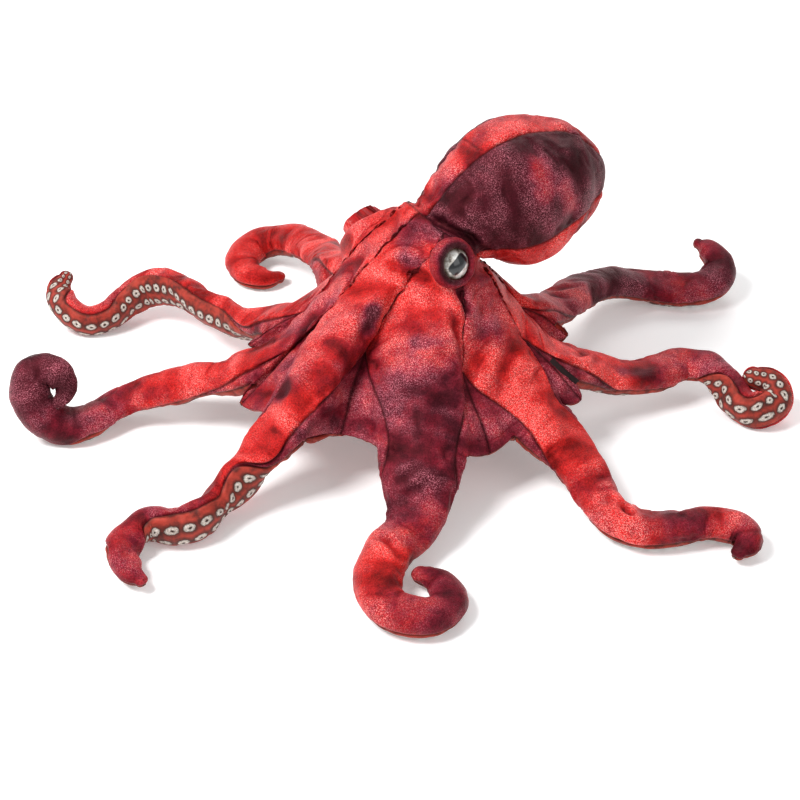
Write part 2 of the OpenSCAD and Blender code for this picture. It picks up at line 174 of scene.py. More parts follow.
# How purple each arm's velour is: place along it, then amount. Places 0 to 1 are the hood from
# the neck to the shoulder, and 1 to 2 the arm from there to its tip.
DYE_ALONG = {
    1: [(0, 0.1), (0.3, 0.15), (0.55, 0.35), (0.78, 0.72), (1, 0.7), (1.2, 0.62), (1.34, 0.35),
        (1.45, 0.05), (1.6, 0.3), (1.75, 0.6), (2, 0.5)],
    2: [(0, 0.05), (0.4, 0.15), (0.7, 0.4), (0.9, 0.1), (1.3, 0.1), (1.5, 0.5), (2, 0.4)],
    3: [(0, 0.05), (0.5, 0.45), (0.8, 0.45), (1, 0.15), (1.3, 0.15), (1.45, 0.45), (1.6, 0.65),
        (1.8, 0.85), (2, 0.9)],
    4: [(0, 0.1), (0.6, 0.3), (1, 0.1), (1.3, 0.05), (1.5, 0.15), (1.7, 0.3), (2, 0.2)],
    5: [(0, 0.2), (0.6, 0.2), (1, 0.05), (2, 0)],
    6: [(0, 0.1), (0.6, 0.15), (0.9, 0.35), (1.1, 0.5), (1.25, 0.45), (1.4, 0.85), (1.52, 0.7),
        (1.7, 0.5), (1.85, 0.75), (2, 0.5)],
    7: [(0, 0.15), (0.6, 0.1), (0.9, 0.2), (1.1, 0.05), (1.2, 0.1), (1.4, 0.4), (1.5, 0.55),
        (1.65, 0.6), (1.8, 0.2), (2, 0.1)],
    8: [(0, 0.3), (0.25, 0.45), (0.5, 0.25), (0.7, 0.1), (1, 0.05), (1.2, 0.05), (1.35, 0.35),
        (1.5, 0.15), (1.65, 0.5), (1.8, 0.25), (1.9, 0.5), (2, 0.6)],
}

# ---- curves ----


def unit(v):
    v = np.asarray(v, float)
    return v / np.maximum(np.linalg.norm(v, axis=-1, keepdims=True), 1e-9)


def smooth(x):
    x = np.clip(x, 0, 1)
    return x * x * (3 - 2 * x)


def spline(values, at):
    """Catmull-Rom value and slope of rows of numbers at the real row numbers in at."""
    values = np.asarray(values, float)
    k = np.floor(at).astype(int)
    s = (at - k)[:, None]
    a, b, c, d = (values[np.clip(k + j, 0, len(values) - 1)] for j in (-1, 0, 1, 2))
    value = 0.5 * (2 * b + (c - a) * s + (2 * a - 5 * b + 4 * c - d) * s**2
                   + (3 * b - a - 3 * c + d) * s**3)
    slope = 0.5 * ((c - a) + 2 * (2 * a - 5 * b + 4 * c - d) * s + 3 * (3 * b - a - 3 * c + d) * s**2)
    return value, slope


def bezier(points, s):
    """A Bezier curve of any degree, for a column of parameters s."""
    points = [np.asarray(p, float) for p in points]
    s = np.asarray(s, float)[..., None]
    while len(points) > 1:
        points = [a * (1 - s) + b * s for a, b in zip(points, points[1:])]
    return points[0]


# ---- arms ----


class Arm:
    """The sections of one arm from the edge of the hood to its tip."""

    def __init__(self, i):
        rows = ARMS[i]
        self.points = np.array([r[:3] for r in rows], float)
        self.widths = np.array([[r[3]] for r in rows], float)
        self.faces = np.array([r[4] for r in rows], float)
        self.root = self.bend(ROOT_BEND)
        self.mid = self.bend(MID_BEND)
        at, arc = self.spread()
        centre, slope = spline(self.points, at)
        width = spline(self.widths, at)[0][:, 0]
        face = spline(self.faces, at)[0]
        reach = self.root[2]
        lead = np.arange(reach, 0.5, -STEP)[:, None]
        heading = unit(slope)
        first = heading[:1]
        cap = np.radians([18, 36, 52, 66, 79, 90])[:, None]
        tip = width[-1] / 2
        self.centre = np.vstack([centre[0] - first * lead, centre, centre[-1] + heading[-1] * np.sin(cap) * tip])
        self.heading = np.vstack([first.repeat(len(lead), 0), heading, heading[-1:].repeat(len(cap), 0)])
        blend = smooth(1 - lead / reach)
        self.face = np.vstack([np.array(UP) * (1 - blend) + face[0] * blend, face, face[-1:].repeat(len(cap), 0)])
        self.width = np.concatenate([width[0].repeat(len(lead)), width, width[-1].repeat(len(cap))])
        self.grow = np.concatenate([np.ones(len(lead) + len(width)), np.cos(cap[:, 0])])
        self.arc = np.concatenate([reach - lead[:, 0], reach + arc, reach + arc[-1] + np.sin(cap[:, 0]) * tip])
        flare = (SHOULDER_FLARE - 1) * (1 - smooth(self.arc / (reach + 26)))
        self.width = self.width * (1 + flare)
        self.along = 1 + self.arc / self.arc[-1]
        step = np.diff(self.arc, prepend=0) / self.width
        self.turns_of_width = np.cumsum(step)
        self.cut_in = self.row_near((self.root_arc_end() + self.mid_arc() - self.mid[2]) / 2)
        self.cut_out = self.row_near(self.mid_arc() + self.mid[2] + 8)

    def bend(self, k):
        """A bend's centre, heading and reach to either side."""
        slope = spline(self.points, np.array([float(k)]))[1][0]
        return self.points[k], unit(slope), self.widths[k, 0] / 2 + BEND_GAP

    def spread(self):
        """Row numbers from the root bend to the tip, evenly spaced along the arm, and their arcs."""
        at = np.linspace(ROOT_BEND, len(self.points) - 1, 400)
        line = spline(self.points, at)[0]
        arc = np.concatenate([[0], np.cumsum(np.linalg.norm(np.diff(line, axis=0), axis=1))])
        even = np.linspace(0, arc[-1], int(arc[-1] / STEP))
        self.arc_of_row = lambda k: np.interp(k, at, arc)
        return np.interp(even, arc, at), even

    def root_arc_end(self):
        return 2 * self.root[2]

    def mid_arc(self):
        return self.root[2] + self.arc_of_row(MID_BEND)

    def row_near(self, arc):
        return int(np.abs(self.arc - arc).argmin())

    def skin(self, turns):
        """Points of the skin at turns round each section, 0 being the arm's right side."""
        n = unit(self.face - (self.face * self.heading).sum(1, keepdims=True) * self.heading)
        side = np.cross(self.heading, n)
        turns = np.broadcast_to(turns, (len(self.arc), np.shape(turns)[-1]))
        across = np.cos(turns) * (self.width / 2 * self.grow)[:, None]
        over = np.sin(turns) * (np.minimum(self.width * ARM_FULLNESS, ARM_THICK_MOST) / 2 * self.grow)[:, None]
        return self.centre[:, None] + side[:, None] * across[..., None] + n[:, None] * over[..., None]


arms = {i: Arm(i) for i in ARMS}

# ---- hood ----

neck_out = np.array([math.cos(MANTLE_TURN), math.sin(MANTLE_TURN), 0]) * math.sin(NECK_TILT)
neck_out = neck_out - np.array(UP) * math.cos(NECK_TILT)
neck_side = np.array([-math.sin(MANTLE_TURN), math.cos(MANTLE_TURN), 0])
neck_axis = np.cross(neck_out, neck_side)


def neck_point(degrees):
    turn = math.radians(degrees)
    return NECK + NECK_R * (math.cos(turn) * neck_out + math.sin(turn) * neck_side)


def level(v):
    return unit([v[0], v[1], 0])


def seam(i, s):
    """The seam from the neck to the fork after arm i."""
    turn, fork, _ = GAPS[i]
    a, b = neck_point(turn), np.array(fork, float)
    return bezier([a, (a + b) / 2 + level(b - a) * 4 + np.array([0, 0, 6]), b], s)


def gore_edge(i, side, t):
    """Left (-1) or right (1) border of arm i's part of the hood, for t from 0 to 1."""
    g = i if side > 0 else (i - 2) % 8 + 1
    end = arms[i].skin(np.array([0.0 if side > 0 else math.pi]))[0, 0]
    fork = np.array(GAPS[g][1], float)
    upper = seam(g, np.clip(t * 2, 0, 1))
    lower = bezier([fork, (fork + end) / 2 + np.array([0, 0, 3]), end], np.clip(t * 2 - 1, 0, 1))
    return np.where((t <= 0.5)[:, None], upper, lower)


def gore(i, t, turns):
    """Points of the hood over arm i: rows at t and columns at turns, as in Arm.skin."""
    left, right = gore_edge(i, -1, t), gore_edge(i, 1, t)
    a, d = neck_point(CREST_TURN[i]), arms[i].skin(np.array([math.pi / 2]))[0, 0]
    reach = np.linalg.norm(d - a) * 0.34
    crest = bezier([a, a + (level(d - a) * 0.55 - np.array([0, 0, 0.6])) * reach, d - arms[i].root[1] * reach, d], t)
    mid = (left + right) / 2
    x = np.cos(np.broadcast_to(turns, (len(t), np.shape(turns)[-1])))
    swell = np.maximum(1 - x * x, 0) ** (1.2 - 0.7 * t)[:, None]
    return mid[:, None] + (right - left)[:, None] / 2 * x[..., None] + (crest - mid)[:, None] * swell[..., None]


def web(i, t, u):
    """The gusset after arm i: rows at t from 0.5 to 1, columns from arm i (0) to the next (1)."""
    fork, hem = np.array(GAPS[i][1], float), np.array(GAPS[i][2], float)
    a, c = gore_edge(i, 1, t)[:, None], gore_edge(i % 8 + 1, -1, t)[:, None]
    v = t * 2 - 1
    m = bezier([fork, (fork + hem) / 2 + np.array([0, 0, 5]), hem], v)[:, None]
    u = u[None, :, None]
    middle = 2 * m - (a + c) / 2
    return (1 - u) ** 2 * a + 2 * u * (1 - u) * middle + u**2 * c


# ---- panels ----


class Panel:
    """A piece of fabric as a grid of points. seams says which borders are sewn: left, right,
    first row, last row. hole marks the cells that have no fabric."""

    def __init__(self, name, points, dye=0.3, seams=(1, 1, 1, 1), chart=None, hole=None):
        self.name = name
        self.points = points
        rows, columns = points.shape[:2]
        self.dye = np.broadcast_to(np.asarray(dye, float), (rows, columns)).copy()
        self.seams = seams
        self.chart = chart
        self.hole = np.zeros((rows - 1, columns - 1), bool) if hole is None else hole
        self.corner = None

    def held(self):
        mask = np.zeros(self.points.shape[:2], bool)
        left, right, first, last = self.seams
        mask[:, 0] |= bool(left)
        mask[:, -1] |= bool(right)
        mask[0] |= bool(first)
        mask[-1] |= bool(last)
        if self.corner:
            hem, side = self.corner
            mask[hem, side:] = True
            mask[hem:, side] = True
        return mask

    def extend(self):
        """Carries the grid smoothly over its hole, so that refining it leaves the borders true."""
        if not self.corner:
            return
        hem, side = self.corner
        p = self.points
        for j in range(side + 1, p.shape[1]):
            p[hem + 1:, j] = p[hem + 1:, side] + (p[hem + 1:, side] - p[hem + 1:, side - 1]) * (j - side)
        p[hem + 1, side + 1:] = 2 * p[hem, side + 1:] - p[hem - 1, side + 1:]

    def refine(self):
        self.extend()
        self.points = doubled(doubled(self.points).swapaxes(0, 1)).swapaxes(0, 1)
        self.dye = doubled(doubled(self.dye[..., None]).swapaxes(0, 1)).swapaxes(0, 1)[..., 0]
        if self.chart is not None:
            self.chart = doubled(doubled(self.chart).swapaxes(0, 1)).swapaxes(0, 1)
        self.hole = self.hole.repeat(2, 0).repeat(2, 1)
        if self.corner:
            self.corner = (self.corner[0] * 2, self.corner[1] * 2)

    def seam_distance(self):
        """Distance over the fabric from each point to the nearest seam."""
        across = np.linalg.norm(np.diff(self.points, axis=1), axis=2)
        down = np.linalg.norm(np.diff(self.points, axis=0), axis=2)
        left, right, first, last = self.seams
        best = np.full(self.points.shape[:2], 99.0)
        if left:
            best = np.minimum(best, np.cumsum(np.pad(across, ((0, 0), (1, 0))), 1))
        if right:
            far = across.copy()
            if self.corner:
                far[self.corner[0] + 1:, self.corner[1]:] = 0
            best = np.minimum(best, np.cumsum(np.pad(far, ((0, 0), (0, 1)))[:, ::-1], 1)[:, ::-1])
        if first:
            best = np.minimum(best, np.cumsum(np.pad(down, ((1, 0), (0, 0))), 0))
        if last:
            best = np.minimum(best, np.cumsum(np.pad(down, ((0, 1), (0, 0)))[::-1], 0)[::-1])
        if self.corner:
            hem, side = self.corner
            to_hem = np.cumsum(np.pad(down[:hem], ((0, 1), (0, 0)))[::-1], 0)[::-1]
            best[: hem + 1, side:] = np.minimum(best[: hem + 1, side:], to_hem[:, side:])
        return best


def band_chart(points):
    """Place across and along a strip of cloth, in units of the lustre's bands."""
    across = np.linalg.norm(np.diff(points, axis=1), axis=2)
    across = np.cumsum(np.pad(across, ((0, 0), (1, 0))), 1)
    middle = points[:, points.shape[1] // 2]
    along = np.cumsum(np.pad(np.linalg.norm(np.diff(middle, axis=0), axis=1), (1, 0)))
    wide, long = BAND
    return np.stack(np.broadcast_arrays((across - across[:, -1:] / 2) / wide, along[:, None] / long), 2)


def cloth_area(points):
    """Area of a grid of points, in square metres."""
    p = points * MM
    a, b, c, d = p[:-1, :-1], p[:-1, 1:], p[1:, 1:], p[1:, :-1]
    doubled_area = np.linalg.norm(np.cross(b - a, c - a), axis=2) + np.linalg.norm(np.cross(c - a, d - a), axis=2)
    return float(doubled_area.sum() / 2)


# The narrowest strip, in metres, that a web is cut from; the area stays its pattern's own
LEAST_STRIP = 0.01


def flat_cut(points):
    """Width, length and area, in metres, of the flat cloth that a smooth web takes. It is nearly
    a triangle, and so is cut from a rectangle of twice its area."""
    area = cloth_area(points)
    length = float((np.linalg.norm(np.diff(points, axis=0), axis=2).sum(0) * MM).max())
    return max(2 * area / length, LEAST_STRIP), length, area


def doubled(grid):
    """The grid with a point added between every two rows, on the curve through four of them."""
    padded = np.concatenate([2 * grid[:1] - grid[1:2], grid, 2 * grid[-1:] - grid[-2:-1]])
    between = (9 * (padded[1:-2] + padded[2:-1]) - padded[:-3] - padded[3:]) / 16
    out = np.empty((2 * len(grid) - 1, *grid.shape[1:]))
    out[::2] = grid
    out[1::2] = between
    return out


def arm_panels(i):
    """The velour strip from the neck to the tip, and the printed strip under the arm."""
    arm = arms[i]
    t = np.linspace(0, 1, GORE_ROWS + 1)
    drop = drop_turn(arm.arc)
    flap = flap_turn(t, arm.arc) - np.concatenate([0 * t, drop])
    share = np.linspace(1, 0, STRIP_TURNS + 1)
    turns = flap[:, None] + (math.pi - 2 * flap[:, None]) * share
    points = np.concatenate([gore(i, t, turns[: len(t)]), arm.skin(turns[len(t):])[1:]])
    along = np.concatenate([t, arm.along[1:]])
    dye = np.interp(along, *zip(*DYE_ALONG[i]))[:, None]
    top = Panel(f"arm_{i}_velour", points, dye, (1, 1, 1, 1))
    top.first_row = GORE_ROWS
    share = np.linspace(0, 1, PRINT_TURNS + 1)
    turns = -drop[:, None] - (math.pi - 2 * drop[:, None]) * share
    chart = np.stack(np.broadcast_arrays(
        np.linspace(-PRINT_HALF, PRINT_HALF, PRINT_TURNS + 1)[None], arm.turns_of_width[:, None]), 2)
    under = Panel(f"arm_{i}_print", arm.skin(turns), 0, (1, 1, 1, 1), chart)
    under.first_row = 0
    return top, under


def flap_turn(t, arc):
    """How far the gusset reaches over the arm at hood rows t and then at arcs along the arm. The
    shoulder's own row is given once by each."""
    on_hood = FLAP_TURN * smooth((t - 0.5) * 2)
    on_arm = FLAP_TURN * (1 - smooth(arc / FLAP_LENGTH))
    return np.concatenate([on_hood, on_arm])


def drop_turn(arc):
    return SEAM_DROP * smooth(arc / DROP_LENGTH)


def half_gusset(i, side):
    """Half of the web beside arm i, on its right (1) or left (-1), with the flap along the arm."""
    arm = arms[i]
    g = i if side > 0 else (i - 2) % 8 + 1
    t = np.linspace(0.5, 1, GORE_ROWS // 2 + 1)
    tail = int(np.searchsorted(arm.arc, FLAP_LENGTH)) + 1
    turn = flap_turn(t, arm.arc)[: len(t) + tail]
    share = np.linspace(1, 0, FLAP_STEPS + 1)
    drop = np.concatenate([0 * t, drop_turn(arm.arc)[:tail]])
    turns = turn[:, None] * share - drop[:, None]
    if side < 0:
        turns = math.pi - turns
    full = np.zeros((len(arm.arc), FLAP_STEPS + 1))
    full[:tail] = turns[len(t):]
    over = np.concatenate([gore(i, t, turns[: len(t)]), arm.skin(full)[1:tail]])
    u = np.linspace(0, 0.5, WEB_STEPS + 1)[1:]
    cloth = web(g, t, u if side > 0 else 1 - u)
    rows, columns = len(over), FLAP_STEPS + 1 + WEB_STEPS
    points = np.zeros((rows, columns, 3))
    points[:, : FLAP_STEPS + 1] = over
    points[: len(t), FLAP_STEPS + 1:] = cloth
    hole = np.zeros((rows - 1, columns - 1), bool)
    hole[len(t) - 1:, FLAP_STEPS:] = True
    panel = Panel(f"gusset_{i}_{'right' if side > 0 else 'left'}", points,
                  GUSSET_DYE[g], (1, 1, 1, 1), None, hole)
    panel.corner = (len(t) - 1, FLAP_STEPS)
    panel.flip = side < 0
    panel.extend()
    return panel


def base_panel():
    """The printed panel under the hood, from the bellies and hems to the hand opening."""
    rim, place, width = [], [], []
    for i, arm in arms.items():
        rim.append(arm.skin(np.linspace(-math.pi, 0, PRINT_TURNS + 1))[0])
        place.append(np.linspace(PRINT_HALF, -PRINT_HALF, PRINT_TURNS + 1))
        u = np.linspace(0, 1, 2 * WEB_STEPS + 1)[1:-1]
        rim.append(web(i, np.array([1.0]), u)[0])
        place.append(np.full(len(u), 3.0))
        width.append(np.full(PRINT_TURNS + 1 + len(u), arm.width[0]))
    rim = np.concatenate(rim + [rim[0][:1]])
    place = np.concatenate(place + [place[0][:1]])
    width = np.concatenate(width + [width[0][:1]])
    start = unit(rim * [1, 1, 0]) * OPENING_R + np.array([0, 0, PANEL_Z])
    s = np.linspace(1, 0, 26)[:, None, None]
    points = start * (1 - s) + rim * s
    points[..., 2] -= (rim[:, 2] - PANEL_Z) * s[..., 0] * (1 - s[..., 0])
    narrowed = np.linalg.norm(points[..., :2], axis=2) / np.linalg.norm(rim[:, :2], axis=1)
    inward = -np.linalg.norm(rim - start, axis=1) * (1 - s[..., 0]) / width
    return Panel("base_panel_print", points, 0, (0, 0, 1, 1), np.stack([place * narrowed, inward], 2))


# Where the mantle's seams lie, as degrees from its top, from its neck (0) to its end (1)
TOP_SEAM = ((0, 16), (0.55, 14), (0.8, 24), (1, 34))
TOP_SEAM_FAR = 30
BELLY_SEAM = ((0, 116), (0.5, 104), (0.75, 92), (1, 76))


def mantle_panels():
    path = np.array(MANTLE_PATH, float)
    at = np.linspace(0, len(path) - 1, 62)
    centre, slope = spline(path[:, :3], at)
    radius = spline(path[:, 3:], at)[0][:, 0] * MANTLE_R
    heading = unit(slope)
    heading[0] = neck_axis
    heading[1:8] = unit(heading[1:8] * np.linspace(0.2, 1, 7)[:, None]
                        + neck_axis * np.linspace(0.8, 0, 7)[:, None])
    cap = np.radians([15, 30, 45, 60, 75, 90])
    last = radius[-1]
    centre = np.vstack([NECK, centre, centre[-1] + heading[-1] * (np.sin(cap) * last * 0.4)[:, None]])
    radius = np.concatenate([[NECK_R - 1], radius, last * np.cos(cap)])
    heading = np.vstack([neck_axis, heading, heading[-1:].repeat(6, 0)])
    side = unit(np.cross(heading, UP))
    over = np.cross(side, heading)
    along = np.linspace(0, 1, len(centre))
    top = np.interp(along, *zip(*TOP_SEAM))
    belly = np.interp(along, *zip(*BELLY_SEAM))
    made = []
    for name, start, end, count, dye in (
        ("mantle_top", 0 * top - TOP_SEAM_FAR, top, 16, 0.25), ("mantle_side_right", top, belly, 40, 0.9),
        ("mantle_belly", belly, 360 - belly, 52, 0.1), ("mantle_side_left", -belly, 0 * top - TOP_SEAM_FAR, 38, 0.8),
    ):
        share = np.linspace(0, 1, count + 1)
        a = np.radians(start[:, None] * (1 - share) + end[:, None] * share)
        points = (centre[:, None] + side[:, None] * (np.sin(a) * radius[:, None])[..., None]
                  + over[:, None] * (np.cos(a) * radius[:, None])[..., None])
        made.append(Panel(name, points, dye))
    return made


# ---- bulges, lumps and folds of the whole surface ----

# Centre and radius of the swelling behind each eye
MOUNDS = (((-48, 36, 158), 39), ((8, -30, 168), 24))
MOUND_EASE = 6


def swollen(p):
    """The hood's points pushed out of each mound."""
    for centre, radius in MOUNDS:
        away = p - np.array(centre, float)
        d = np.linalg.norm(away, axis=-1, keepdims=True)
        pushed = MOUND_EASE * np.logaddexp(d / MOUND_EASE, radius / MOUND_EASE)
        p = np.array(centre, float) + away / np.maximum(d, 1e-6) * pushed
    return p


# Without a seed of its own, noise_vector takes its offsets from the clock
NOISE_SEED = 1
noise.seed_set(NOISE_SEED)


def lumps(p, size, seed):
    """A smooth wandering vector for each point, about one unit long."""
    flat = p.reshape(-1, 3) / size + seed
    return np.array([noise.noise_vector(Vector(v)) for v in flat]).reshape(p.shape)


def ripple(p, size, seed):
    """Smooth noise from -1 to 1 at each point."""
    flat = p.reshape(-1, 3) / size + seed
    return np.array([noise.noise(Vector(v)) for v in flat]).reshape(p.shape[:-1])


def eye_frame(name):
    """The eye's centre, its outward axis, and two directions across it: level, and up its face."""
    place, turn, rise = EYES[name]
    turn, rise = math.radians(turn), math.radians(rise)
    axis = np.array([math.cos(turn) * math.cos(rise), math.sin(turn) * math.cos(rise), math.sin(rise)])
    level_way = np.array([-math.sin(turn), math.cos(turn), 0])
    return np.array(place, float), axis, level_way, np.cross(axis, level_way)


def socketed(p):
    """The cloth laid flat behind each eye, and rising to a soft rim round it."""
    for name in EYES:
        place, axis, _, _ = eye_frame(name)
        out = p - place
        height = out @ axis
        off = np.linalg.norm(out - height[..., None] * axis, axis=-1)
        seat = -2.5 + 4.5 * smooth((off - SOCKET_R + 3) / 6) - 2 * smooth((off - 22) / 10)
        share = (1 - smooth((off - 20) / 16)) * (np.abs(height) < 26)
        p = p + ((seat - height) * share)[..., None] * axis
    return p


def ground(p):
    """Fabric that would sink into the floor lies on it."""
    p[..., 2] = np.maximum(p[..., 2], 0.2)
    return p


# ---- cloth ----

CLOTH_FRAMES = 12
CLOTH_PRESSURE = 2.5
CLOTH_GROWTH = 0.02
MOST_SWELL = 3.5
MANTLE_SWELL = 1.5
# A web is held on both sides, and rises by no more than this share of the way to its seam
WEB_SWELL = 0.2


def cells(panel, index):
    """Corner indexes of the cells that have fabric."""
    a, b, c, d = index[:-1, :-1], index[:-1, 1:], index[1:, 1:], index[1:, :-1]
    quads = np.stack([a, b, c, d], -1)[~panel.hole]
    return quads[:, ::-1] if getattr(panel, "flip", False) else quads


def tidy_faces(quads):
    """Faces without repeated corners."""
    faces = []
    for q in quads.tolist():
        f = [v for k, v in enumerate(q) if v != q[k - 1]]
        if len(f) > 2 and len(set(f)) == len(f):
            faces.append(f)
    return faces


def merged(points):
    """Index of each distinct point, for points that may lie on one another."""
    _, first, index = np.unique(np.round(points.reshape(-1, 3) / 0.02).astype(int), axis=0,
                                return_index=True, return_inverse=True)
    return first, index.reshape(points.shape[:-1])


def inflate(panels):
    """Blows the panels up as cloth that is larger than its seams and held along them."""
    points, faces, held, most, maps = [], [], [], [], []
    offset = 0
    for panel in panels:
        first, index = merged(panel.points)
        points.append(panel.points.reshape(-1, 3)[first])
        faces += tidy_faces(cells(panel, index + offset))
        fixed = np.zeros(len(first), bool)
        np.logical_or.at(fixed, index.ravel(), panel.held().ravel())
        held.append(fixed)
        swell = np.full((len(first), 1), MANTLE_SWELL if panel.name.startswith("mantle") else MOST_SWELL)
        if panel.name.startswith("gusset"):
            swell = np.minimum(swell, WEB_SWELL * panel.seam_distance().reshape(-1, 1)[first])
        most.append(swell)
        maps.append(index + offset)
        offset += len(first)
    points, held = np.concatenate(points), np.concatenate(held)
    mesh = bpy.data.meshes.new("cloth")
    mesh.from_pydata((points * MM).tolist(), [], faces)
    cloth = bpy.data.objects.new("cloth", mesh)
    bpy.context.collection.objects.link(cloth)
    group = cloth.vertex_groups.new(name="held")
    group.add(np.flatnonzero(held).tolist(), 1.0, "REPLACE")
    modifier = cloth.modifiers.new("Cloth", "CLOTH")
    settings = modifier.settings
    settings.quality = 4
    settings.mass = 0.2
    settings.tension_stiffness = 12
    settings.compression_stiffness = 12
    settings.shear_stiffness = 6
    settings.bending_stiffness = 4
    settings.vertex_group_mass = "held"
    settings.shrink_min = -CLOTH_GROWTH
    settings.use_pressure = True
    settings.uniform_pressure_force = CLOTH_PRESSURE
    settings.effector_weights.gravity = 0
    modifier.collision_settings.use_collision = False
    modifier.collision_settings.use_self_collision = False
    modifier.point_cache.frame_end = CLOTH_FRAMES
    scene = bpy.context.scene
    for f in range(1, CLOTH_FRAMES + 1):
        scene.frame_set(f)
    solved = cloth.evaluated_get(bpy.context.evaluated_depsgraph_get()).to_mesh()
    moved = np.empty(len(points) * 3)
    solved.vertices.foreach_get("co", moved)
    scene.frame_set(1)
    bpy.data.objects.remove(cloth)
    shift = np.where(held[:, None], 0, moved.reshape(-1, 3) / MM - points)
    size = np.linalg.norm(shift, axis=1, keepdims=True)
    shift *= np.minimum(1, np.concatenate(most) / np.maximum(size, 1e-9))
    for panel, index in zip(panels, maps):
        panel.points = (points + shift)[index]
        panel.extend()


# ---- surface detail on the refined grids ----


def shared_normals(panels):
    """Outward normals, the same for points that lie on one another, such as along a seam."""
    every = np.concatenate([panel.points.reshape(-1, 3) for panel in panels])
    _, index = merged(every)
    total = np.zeros((index.max() + 1, 3))
    offset = 0
    for panel in panels:
        count = panel.points.shape[0] * panel.points.shape[1]
        local = np.arange(count).reshape(panel.points.shape[:2])
        quads = cells(panel, local) + offset
        corner = every[quads]
        normal = np.cross(corner[:, 2] - corner[:, 0], corner[:, 3] - corner[:, 1])
        for k in range(4):
            np.add.at(total, index[quads[:, k]], normal)
        offset += count
    normals = unit(total)[index]
    offset = 0
    for panel in panels:
        count = panel.points.shape[0] * panel.points.shape[1]
        panel.normals = normals[offset: offset + count].reshape(panel.points.shape)
        offset += count


# Folds: points along each, then how deep and how wide, all in millimetres
FOLDS = (
    # Front arm: its elbow, and creases across its purple stretch
    (((-52, -240, 34), (-31, -274, 30)), 4.5, 4),
    (((-31, -198, 49), (-1, -181, 58)), 3, 4.5),
    (((-22, -205, 45), (2, -196, 50)), 2, 4),
    (((-26, -153, 78), (7, -160, 77)), -1.6, 4),
    # Hood in front: under the brow, pleats at the forks, and beside the eye
    (((-48, -33, 178), (-30, -47, 179), (-12, -50, 171), (6, -67, 157)), 4, 6),
    (((-25, -78, 132), (6, -92, 135)), 2.5, 7),
    (((-34, -92, 118), (4, -104, 122)), 2, 6),
    (((22, -52, 168), (27, -64, 156), (34, -69, 140)), 4, 5),
    (((18, -70, 155), (22, -85, 137), (24, -98, 118)), 3, 5),
    (((46, -50, 152), (44, -78, 128)), 2.5, 6),
    (((90, -56, 112), (70, -78, 108), (60, -110, 88)), 2.5, 7),
    # Hood on the left
    (((-57, -79, 138), (-66, -84, 124)), 3, 6),
    (((-95, -33, 137), (-123, -54, 106)), 3, 8),
    (((-110, -90, 100), (-134, -118, 88)), 3, 7),
    # Right front arm's elbow
    (((164, -205, 36), (176, -234, 20)), 4.5, 4),
    (((150, -190, 38), (160, -212, 24)), 2, 4),
    # Right back arm's gathered root
    (((118, 70, 78), (140, 78, 70), (152, 104, 52)), 3, 4.5),
    (((130, 92, 74), (150, 104, 66), (160, 122, 48)), 3, 4),
    (((146, 112, 66), (164, 124, 58)), 2.5, 4),
    # Right arm's root, and the turn before its printed end
    (((138, -40, 78), (150, -18, 74)), 3, 4.5),
    (((150, -44, 66), (162, -20, 64)), 2, 4),
    # Neck, where the mantle folds over the hood
    (((-12, -12, 216), (7, -17, 210), (20, -22, 204), (34, -24, 197), (50, -17, 181)), 5, 5),
)
# Creases as fine as a seam
STITCHED = (
    (((-32, -23, 195), (-14, -30, 200), (5, -33, 198), (9, -40, 188)), 2, 1.6),
)


def off_line(p, line):
    """Distance of each point from a line through the given points, and its share of the way."""
    best = np.full(p.shape[:-1], 999.0)
    share = np.zeros(p.shape[:-1])
    for k, (a, b) in enumerate(zip(line, line[1:])):
        a, b = np.array(a, float), np.array(b, float)
        t = np.clip(((p - a) @ (b - a)) / ((b - a) @ (b - a)), 0, 1)
        away = np.linalg.norm(p - a - t[..., None] * (b - a), axis=-1)
        share = np.where(away < best, (k + t) / (len(line) - 1), share)
        best = np.minimum(best, away)
    return best, share


def crease(panel):
    """Folds pressed into the panel, each with a roll of cloth on either side."""
    shift = np.zeros(panel.points.shape[:2])
    for line, depth, width in FOLDS + STITCHED:
        away, share = off_line(panel.points, line)
        fade = np.sin(math.pi * np.clip(share, 0.08, 0.92)) ** 0.6
        away = away / width
        shift += depth * fade * (-np.exp(-(away**2)) + 0.5 * np.exp(-((away - 2) ** 2)))
    return shift


